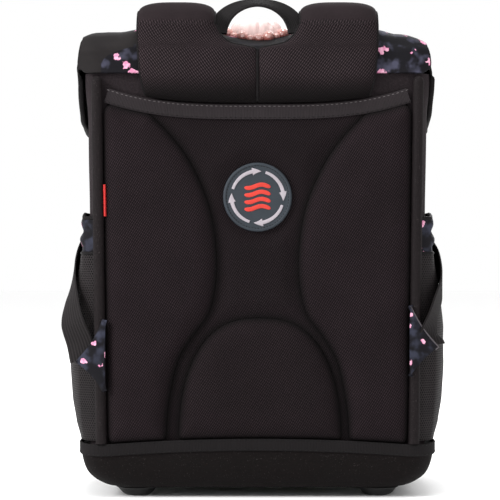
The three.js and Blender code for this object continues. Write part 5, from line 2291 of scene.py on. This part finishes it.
    def buckle(self, side: Side) -> Surface:
        """A ladder-lock buckle with two slots, at the strap's end.

        Args:
            side: of the bag.

        Returns:
            The surface.
        """
        middle, angle = self.end(side)
        down = np.array([math.sin(angle), 0, -math.cos(angle)])
        across = np.array([math.cos(angle), 0, math.sin(angle)])
        centre = np.array([middle[0], BOX.front + 4.0 + 1.4 + 4.1, middle[2]]) + down * self.buckle_drop
        surface = Surface()
        outline = oval(self.buckle_width, self.buckle_height, 48, 6)
        path = np.array([centre + across * (a * 0.86) + down * (b * 0.87) for a, b in outline])
        facing = np.tile((0.0, 1.0, 0.0), (48, 1))
        surface.join(sweep(path, facing, oval(4.6, 4.8, 14, 3), closed=True))
        for place in (-1, 0, 1):
            bar = centre + down * place * self.buckle_pitch
            ends = np.array([bar + across * s for s in np.linspace(-14.5, 14.5, 12)])
            looks = np.tile((0.0, 1.0, 0.0), (12, 1))
            surface.join(sweep(ends, looks, oval(5.0, 4.2, 14, 2.6)))
        return surface

    def build(self) -> None:
        """Makes both straps, their bound edges, the seam between them and the buckles."""
        for side in Side:
            finish = AirMesh(shade=colour(60, 50, 53), pitch=1.9, smooth_above=394.0)
            piece = make(f"shoulder_strap_{side.word}_pad", self.surface(side), finish,
                         [f"shoulder_strap_{side.word}"], 75)
            make(f"strap_piping_{side.word}", self.piping(side), BINDING)
            make(f"strap_buckle_{side.word}_frame", self.buckle(side), PLASTIC, [f"strap_buckle_{side.word}"])
        heights = np.linspace(0.06, 0.5, 40)
        z = mix(BOX.yoke_height + 7.6, self.top, heights)
        off = np.interp(heights, [row[0] for row in self.rear], [row[1] + row[2] * 0.62 for row in self.rear])
        path = np.column_stack([np.zeros(40), BOX.back - BOX.gap - off * self.thickness, z])
        seam = sweep(path, np.tile((0.0, -1.0, 0.0), (40, 1)), oval(2.4, 2.0, 10))
        make("strap_seam", seam, BINDING)


@dataclass
class Handle:
    """The carry handle: a padded webbing arch between the straps."""

    span: float = 66.0
    top: float = 413.5
    rise: float = 26.0
    width: float = 15.0
    thickness: float = 2.8

    def build(self) -> None:
        """Makes the handle and its stitches."""
        share = np.linspace(-1, 1, 60)
        angle = share * math.pi / 2
        x = self.span / 2 * np.sin(angle)
        z = self.top - self.thickness / 2 - self.rise * (1 - np.cos(angle))
        y = mix(BOX.back + 8, BOX.seat + 6, np.abs(share) ** 3)
        turn = np.radians(24 + 52 * np.abs(share) ** 1.5)
        facing = np.column_stack([np.zeros(60), -np.sin(turn), np.cos(turn)])
        path = np.column_stack([x, y, z])
        spots, looks = even_path(path, facing, 1.4)
        make("carry_handle_web", sweep(spots, looks, ribbed_band(self.width, self.thickness, 6, 0.1)),
             Webbing(shade=colour(27, 24, 25), rib=1.6),
             ["carry_handle"])
        stitches = Surface()
        for across in (-4.8, 4.8):
            stitches.join(stitch_row(spots, looks, across, 3.4, 2.2, 0.24, self.thickness / 2))
        make("handle_stitches", stitches, DARK_THREAD)


@dataclass
class Pockets:
    """Side pockets of open mesh with a gathered band of print cloth at the mouth."""

    bulge: float = 17.5
    top: float = 241.0
    wall: float = 1.6
    rear: float = 9.0
    length: float = 146.0
    band: float = 38.0
    bottom: float = 47.8

    swell: tuple[tuple[float, float], ...] = (
        (0, 0.5), (0.07, 0.74), (0.17, 0.92), (0.32, 1.02), (0.48, 0.98), (0.66, 0.7), (0.8, 0.36), (1, 0.3),
    )

    wrap: tuple[tuple[float, float], ...] = (
        (-6.6, -0.9), (-5.2, 0.1), (-3.4, 1.0), (-1.6, 2.1), (0.2, 3.6), (2.4, 5.6),
    )

    def reach(self, along: Any, rise: Any) -> Any:
        """How far the pocket stands off the side wall.

        Args:
            along: share of the pocket's length, from its rear edge.
            rise: share of its height.

        Returns:
            One distance for each place.
        """
        table = np.array(self.swell)
        spot = np.clip(np.interp(rise, table[:, 0], np.arange(len(table))), 0, len(table) - 1)
        low = np.minimum(np.floor(spot).astype(int), len(table) - 2)
        part = spot - low
        part = mix(part, smoothstep(part, 0, 1), 0.3)
        swell = mix(table[low, 1], table[low + 1, 1], part)
        return self.wall + BOX.gap + self.bulge * swell * np.sin(math.pi * mix(0.02, 0.98, along)) ** 0.42

    def rows(self, side: Side, low: float, high: float, steps: int, gather: float) -> Array:
        """Grid of the pocket's outer face between two heights.

        Args:
            side: of the bag.
            low: share of the pocket's height where the grid starts.
            high: share where it ends.
            steps: number of rows.
            gather: height of the folds.

        Returns:
            The grid.
        """
        rows = []
        along = np.linspace(0, 1, 72)
        for rise in np.linspace(low, high, steps):
            height = mix(self.bottom, self.top, rise)
            mouth = smoothstep(rise, 0.8, 1.0)
            z = height - mouth * (4.5 + 4.0 * (1 - smoothstep(along, 0.0, 0.3)))
            reach = self.reach(along, np.full(72, rise)) * (1 - 0.22 * mouth * mouth)
            reach = reach + 1.2 * smoothstep(rise, 0.76, 0.84) * np.cos(TAU * (height - 236) / 19)
            wave = ripple(along * self.length + rise * 14, 15, 50 + side.value)
            held = np.sin(math.pi * along) ** 0.5
            band = (rise - low) / max(1e-6, high - low)
            reach = reach + gather * wave * held * (0.4 + 0.6 * math.sin(math.pi * band))
            soft = ripple(along * self.length - rise * 120, 70, 54 + side.value) * 0.5 * held
            x = side.value * (BOX.side(z) + reach + soft * (1 - gather * 0.5))
            y = BOX.back + self.rear + along * self.length
            row = np.column_stack([x, y, z])
            corner = [(side.value * (BOX.side(z[0]) + out), BOX.back + deep, z[0]) for out, deep in self.wrap]
            rows.append(np.vstack([corner, row]))
        return np.array(rows)

    def build(self) -> None:
        """Makes the mesh bags, the bands and their hems."""
        height = self.top - self.bottom
        seam = 1 - self.band / height
        for side in Side:
            way = side.value
            grid = self.rows(side, 0.0, seam - 0.002, 70, 0.0)
            mesh = make(f"side_pocket_{side.word}_net", cloth_sheet(grid, self.wall * 0.8, way), PocketMesh(),
                        [f"side_pocket_{side.word}"], 60)
            grid = self.rows(side, seam + 0.002, 1.0, 34, 0.7)
            band = make(f"pocket_band_{side.word}_cloth", cloth_sheet(grid, self.wall, way), PRINT,
                        [f"pocket_band_{side.word}"], 60)
            trim = Surface()
            look = np.tile((float(way), 0.0, 0.0), (len(grid[0]), 1))
            for row, lift in ((grid[-1], 0.0), (grid[0], 0.5)):
                spots, looks = even_path(row - look * (self.wall / 2 - lift * 0.6), look, 2.4)
                trim.join(sweep(spots, looks, oval(3.0, 3.0, 10, 2.4)))
            make(f"pocket_hem_{side.word}", trim, BINDING)


@dataclass
class Adjusters:
    """Adjusting webbing of both straps, with the printed tabs that anchor it."""

    pockets: Pockets
    strap: Strap
    width: float = 24.0
    thickness: float = 1.8
    tab_reach: float = 24.0
    tab_thickness: float = 3.0
    tab_height: float = 119.0
    tab_lift: float = 12.0
    tab_half: float = 29.0
    tab_tip: float = -5.22
    tab_turn: float = 10.0
    side_height: float = 203.0

    left_route: tuple[tuple[float, float, float, float], ...] = (
        (0.4, -0.022, 0.02, 10), (-4.0, -0.012, 0.17, 22), (2.6, -0.01, 0.38, 36), (1.0, 0.08, 0.62, 56),
        (-0.4, 0.24, 0.85, 82), (0, 0.42, 0.98, 90), (0.4, 0.55, 1.01, 90), (0.6, 0.68, 1.03, 90),
        (0.6, 0.76, 1.03, 92), (0.6, 0.86, 1.02, 94), (0.6, 0.98, 1, 125),
    )
    right_route: tuple[tuple[float, float, float, float], ...] = (
        (0.2, -0.022, 0.02, 12), (-9.0, -0.012, 0.17, 52), (-5.0, 0, 0.38, 74), (-1.0, 0.09, 0.62, 84),
        (0.2, 0.24, 0.85, 90), (0, 0.42, 0.98, 90), (0.4, 0.55, 1.01, 90), (0.6, 0.68, 1.03, 90),
        (0.6, 0.76, 1.03, 92), (0.6, 0.86, 1.02, 94), (0.6, 0.98, 1, 125),
    )
    front_route: tuple[tuple[float, float], ...] = (
        (1, 1), (0.74, 1.03), (0.46, 0.98), (0.25, 0.8), (0.12, 0.5), (0, 0),
    )

    def tab_middle(self, side: Side) -> float:
        """Height of a tab's middle."""
        return self.tab_height + (self.tab_lift if side is Side.RIGHT else 0.0)

    def pocket_reach(self, y: float, z: float) -> float:
        """How far the pocket stands off the wall within half the webbing's width of a place.

        Args:
            y: deep in the bag.
            z: height.

        Returns:
            The largest distance.
        """
        best = 0.0
        for dy in np.linspace(-0.5, 0.5, 5) * self.width:
            along = (y + dy - BOX.back - self.pockets.rear) / self.pockets.length
            rise = (z - self.pockets.bottom) / (self.pockets.top - self.pockets.bottom)
            if 0 < along < 1 and 0 <= rise <= 1.05:
                best = max(best, float(self.pockets.reach(np.array([along]), np.array([min(1.0, rise)]))[0]))
        return best

    def webbing(self, side: Side) -> Surface:
        """The webbing from the tab round the side to the buckle.

        Args:
            side: of the bag.

        Returns:
            The closed surface.
        """
        way = side.value
        route = self.left_route if side is Side.LEFT else self.right_route
        start = self.tab_middle(side) + self.tab_tip
        spots, looks = [], []
        for off, along, up, turn in route:
            y, z = mix(BOX.back, BOX.front, along), mix(start, self.side_height, up)
            x = BOX.side(z) + self.pocket_reach(y, z) + 1.5 + self.thickness / 2 + off
            spots.append((way * x, y, z))
            angle = math.radians(turn)
            looks.append((way * math.sin(angle), -math.cos(angle), 0.0))
        middle, angle = self.strap.end(side)
        drop = self.strap.buckle_drop
        lock = np.array([
            middle[0] + math.sin(angle) * drop, BOX.front + 5.5, middle[2] - math.cos(angle) * drop,
        ])
        for out, up in self.front_route:
            across = mix(abs(lock[0]), BOX.side(self.side_height), out)
            spots.append((way * across, lock[1], mix(lock[2], self.side_height, up)))
            looks.append((0.0, 1.0, 0.0))
        path = centripetal(np.array(spots), 150)
        facing = centripetal(np.array(looks), 150)
        steps = even_path(path, facing, 1.6)
        return sweep(*steps, ribbed_band(self.width, self.thickness, 9, 0.28))

    def tab(self, side: Side) -> tuple[Surface, Surface]:
        """A triangular printed tab, and the piping along its curved edges.

        Args:
            side: of the bag.

        Returns:
            The tab's surface and the piping's.
        """
        way, middle = side.value, self.tab_middle(side)
        turn = math.radians(self.tab_turn) * way
        root = np.array([way * (BOX.side(self.tab_height) - 14.9), BOX.seat - 8.5, middle])
        corners = ((0.0, self.tab_half), (way * self.tab_reach, self.tab_tip), (0.0, -self.tab_half))
        curve = []
        for (ax, az), (bx, bz) in zip(corners[:-1], corners[1:]):
            for share in np.linspace(0, 1, 24)[:-1]:
                bow = math.sin(math.pi * share)
                curve.append((
                    mix(ax, bx, share) - way * bow * 1.6, mix(az, bz, share) + bow * np.sign(-bz - az),
                ))
        curve.append(corners[-1])
        curve = np.array(curve)
        rows = []
        for out in np.linspace(0, 1, 14):
            flat = np.column_stack([curve[:, 0] * out, curve[:, 1]])
            rows.append(self.turned(flat, root, turn, 0.6 * math.sin(math.pi * out)))
        sheet = cloth_sheet(np.array(rows), self.tab_thickness * 0.7, 1)
        edge = self.turned(curve[:26], root, turn, -1.0)
        look = np.tile((math.sin(turn), -math.cos(turn), 0.0), (len(edge), 1))
        return sheet, sweep(*even_path(edge, look, 1.5), oval(1.6, 2.8, 12))

    def turned(self, flat: Array, root: Array, turn: float, out: float) -> Array:
        """Places points of the flat tab at its turned place on the bag.

        Args:
            flat: points of the tab, across and up.
            root: the tab's place.
            turn: its angle, in radians.
            out: how far the points stand off it.

        Returns:
            The placed points.
        """
        x = root[0] + flat[:, 0] * math.cos(turn) + out * math.sin(turn)
        y = root[1] + flat[:, 0] * math.sin(turn) - out
        return np.column_stack([x, y, root[2] + flat[:, 1]])

    def build(self) -> None:
        """Makes the webbing, the tabs and their piping."""
        for side in Side:
            make(f"webbing_{side.word}_band", self.webbing(side), Webbing(shade=colour(34, 30, 31), rib=2.7),
                 [f"webbing_{side.word}"])
            sheet, edge = self.tab(side)
            piece = make(f"webbing_tab_{side.word}_cloth", sheet, PRINT, [f"webbing_tab_{side.word}"])
            make(f"tab_piping_{side.word}", edge, Thread(shade=colour(84, 79, 83)))


# The ornament on the lid.


@dataclass
class Ornament:
    """A small dome of gathered organza in a ring of pearls, between the straps."""

    lid: Lid
    middle: tuple[float, float] = (-1.0, -52.0)
    half: float = 23.0
    depth: float = 17.0
    tall: float = 19.0
    folds: int = 19
    cloth: float = 0.3
    pearl_growth: float = 1.2
    creases: tuple[tuple[float, float], ...] = ((-0.45, 0.1), (0.12, 0.16), (0.5, 0.12))

    def dome(self) -> Surface:
        """The organza dome with radiating folds.

        Returns:
            The surface.
        """
        angle = np.arange(120) / 120 * TAU
        rows = []
        for rise in np.linspace(0.0, 0.97, 26):
            out = math.cos(rise * math.pi / 2) ** 0.6
            pleat = np.sin(angle * self.folds + 0.8 * np.sin(angle * 3))
            fold = 1 + 0.05 * pleat * (1 - rise) ** 0.6 * min(1, rise * 5)
            x = self.middle[0] + self.half * np.cos(angle) * out * fold
            y = self.middle[1] + self.depth * np.sin(angle) * out * fold
            seat = np.array([self.lid.height(a, b) for a, b in zip(x, y)]) + 0.9
            up = math.sin(rise * math.pi / 2)
            for at, deep in self.creases:
                near = np.exp(-(((x - self.middle[0]) / self.half - at) / 0.07) ** 2)
                up = up - deep * near * math.sin(math.pi * rise)
            puff = 0.3 * np.cos(angle * 7 + 1) * math.sin(math.pi * rise)
            rows.append(np.column_stack([x, y, seat + up * self.tall + puff]))
        rows = np.array(rows)
        surface = Surface().grid(rows, around=True)
        last = (len(rows) - 1) * 120
        surface.lid(range(last, last + 120), rows[-1].mean(0) + np.array([0, 0, 0.2]))
        return surface

    def build(self) -> None:
        """Makes the dome and the pearls."""
        piece = make("organza_puff_cloth", self.dome(), Organza(), ["organza_puff"])
        solid = piece.modifiers.new("thickness", "SOLIDIFY")
        solid.thickness, solid.offset = self.cloth * MM, -1
        for name in sorted(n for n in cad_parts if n.startswith("pearl_")):
            low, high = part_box(name)
            middle, radius = (low + high) / 2 / MM, (high - low).x / 2 / MM * self.pearl_growth
            make(f"{name}_bead", self.pearl(middle, radius), Pearl(), [name])

    def pearl(self, middle: Vector, radius: float) -> Surface:
        """A bead with a small drilled end at each side, and painted shade on its lower side.

        Args:
            middle: its place.
            radius: its radius.

        Returns:
            The closed surface.
        """
        profile = [(0.16, -0.96), (0.2, -0.985)]
        profile += [(math.cos(a), math.sin(a)) for a in np.linspace(-1.36, 1.36, 18)]
        profile += [(0.2, 0.985), (0.16, 0.96)]
        angle = np.arange(24) / 24 * TAU
        x, y = middle.x - CENTRE[0], middle.y - CENTRE[1]
        rows = np.array([
            np.column_stack([np.full(24, x + h * radius), y + np.cos(angle) * r * radius,
                             middle.z + np.sin(angle) * r * radius])
            for r, h in profile
        ])
        surface = closed_rings(rows)
        # Painted shade: full under the bead, none on its top.
        surface.recess = smoothstep((middle.z - rows.reshape(-1, 3)[:, 2]) / radius, -0.75, 0.9)
        return surface


# The studio.


@dataclass
class Studio:
    """Pale floor, white surroundings, soft lamps and the camera straight behind the bag."""

    distance: float = 1.8
    across: float = -0.0062
    height: float = 0.206
    per_pixel: float = 0.00083
    pixels: int = 500
    sensor: float = 36.0
    floor_half: float = 9.0
    aim_height: float = 0.2
    lamps: tuple[tuple[str, tuple[float, float, float], float, float], ...] = (
        ("lamp_left", (-1.9, -1.2, 1.3), 62, 0.9),
        ("lamp_right", (1.9, -1.3, 1.2), 4, 1.2),
        ("lamp_top", (0.0, -0.6, 2.4), 30, 1.1),
        ("lamp_front", (0.6, 2.2, 1.4), 30, 1.5),
    )

    def floor(self) -> None:
        """Makes the pale floor."""
        mesh = bpy.data.meshes.new("floor")
        ways = ((-1, -1), (1, -1), (1, 1), (-1, 1))
        corners = [(x * self.floor_half, y * self.floor_half, 0) for x, y in ways]
        mesh.from_pydata(corners, [], [(0, 1, 2, 3)])
        dye = Dye("floor")
        dye.set(Base_Color=(0.97, 0.97, 0.97), Roughness=0.9)
        mesh.materials.append(dye.material)
        floor = bpy.data.objects.new("floor", mesh)
        bpy.context.scene.collection.objects.link(floor)

    def lamp(self, name: str, place: tuple[float, float, float], power: float, size: float) -> None:
        """A soft square lamp that looks at the bag.

        Args:
            name: the lamp's name.
            place: where it hangs, in metres.
            power: in watts.
            size: length of its side, in metres.
        """
        light = bpy.data.lights.new(name, "AREA")
        light.energy, light.size = power, size
        lamp = bpy.data.objects.new(name, light)
        lamp.location = place
        aim = Vector((0, 0, self.aim_height)) - lamp.location
        lamp.rotation_euler = aim.to_track_quat("-Z", "Y").to_euler()
        bpy.context.scene.collection.objects.link(lamp)

    def camera(self) -> None:
        """Places the camera."""
        lens = bpy.data.cameras.new("camera")
        wide = self.pixels * self.per_pixel
        lens.sensor_width = self.sensor
        lens.lens = self.sensor * self.distance / wide
        lens.clip_end = 50
        camera = bpy.data.objects.new("camera", lens)
        back = (CENTRE[1] + BOX.back) * MM
        camera.location = (CENTRE[0] * MM + self.across, back - self.distance, self.height)
        camera.rotation_euler = (math.pi / 2, 0, 0)
        bpy.context.scene.collection.objects.link(camera)
        bpy.context.scene.camera = camera

    def build(self) -> None:
        """Makes the studio."""
        scene = bpy.context.scene
        scene.view_settings.view_transform = "Standard"
        world = bpy.data.worlds.new("surroundings")
        scene.world = world
        world.use_nodes = True
        shade = world.node_tree.nodes["Background"]
        shade.inputs["Color"].default_value = (1, 1, 1, 1)
        shade.inputs["Strength"].default_value = 1.0
        self.camera()
        self.floor()
        for lamp in self.lamps:
            self.lamp(*lamp)


def main() -> None:
    """Builds the bag's pieces in order."""
    Studio().build()
    Carcass().build()
    Base().build()
    Back().build()
    lid = Lid()
    lid.build()
    strap = Strap(lid)
    strap.build()
    Handle().build()
    pockets = Pockets()
    pockets.build()
    Adjusters(pockets, strap).build()
    Ornament(lid).build()


if __name__ == "__main__":
    main()
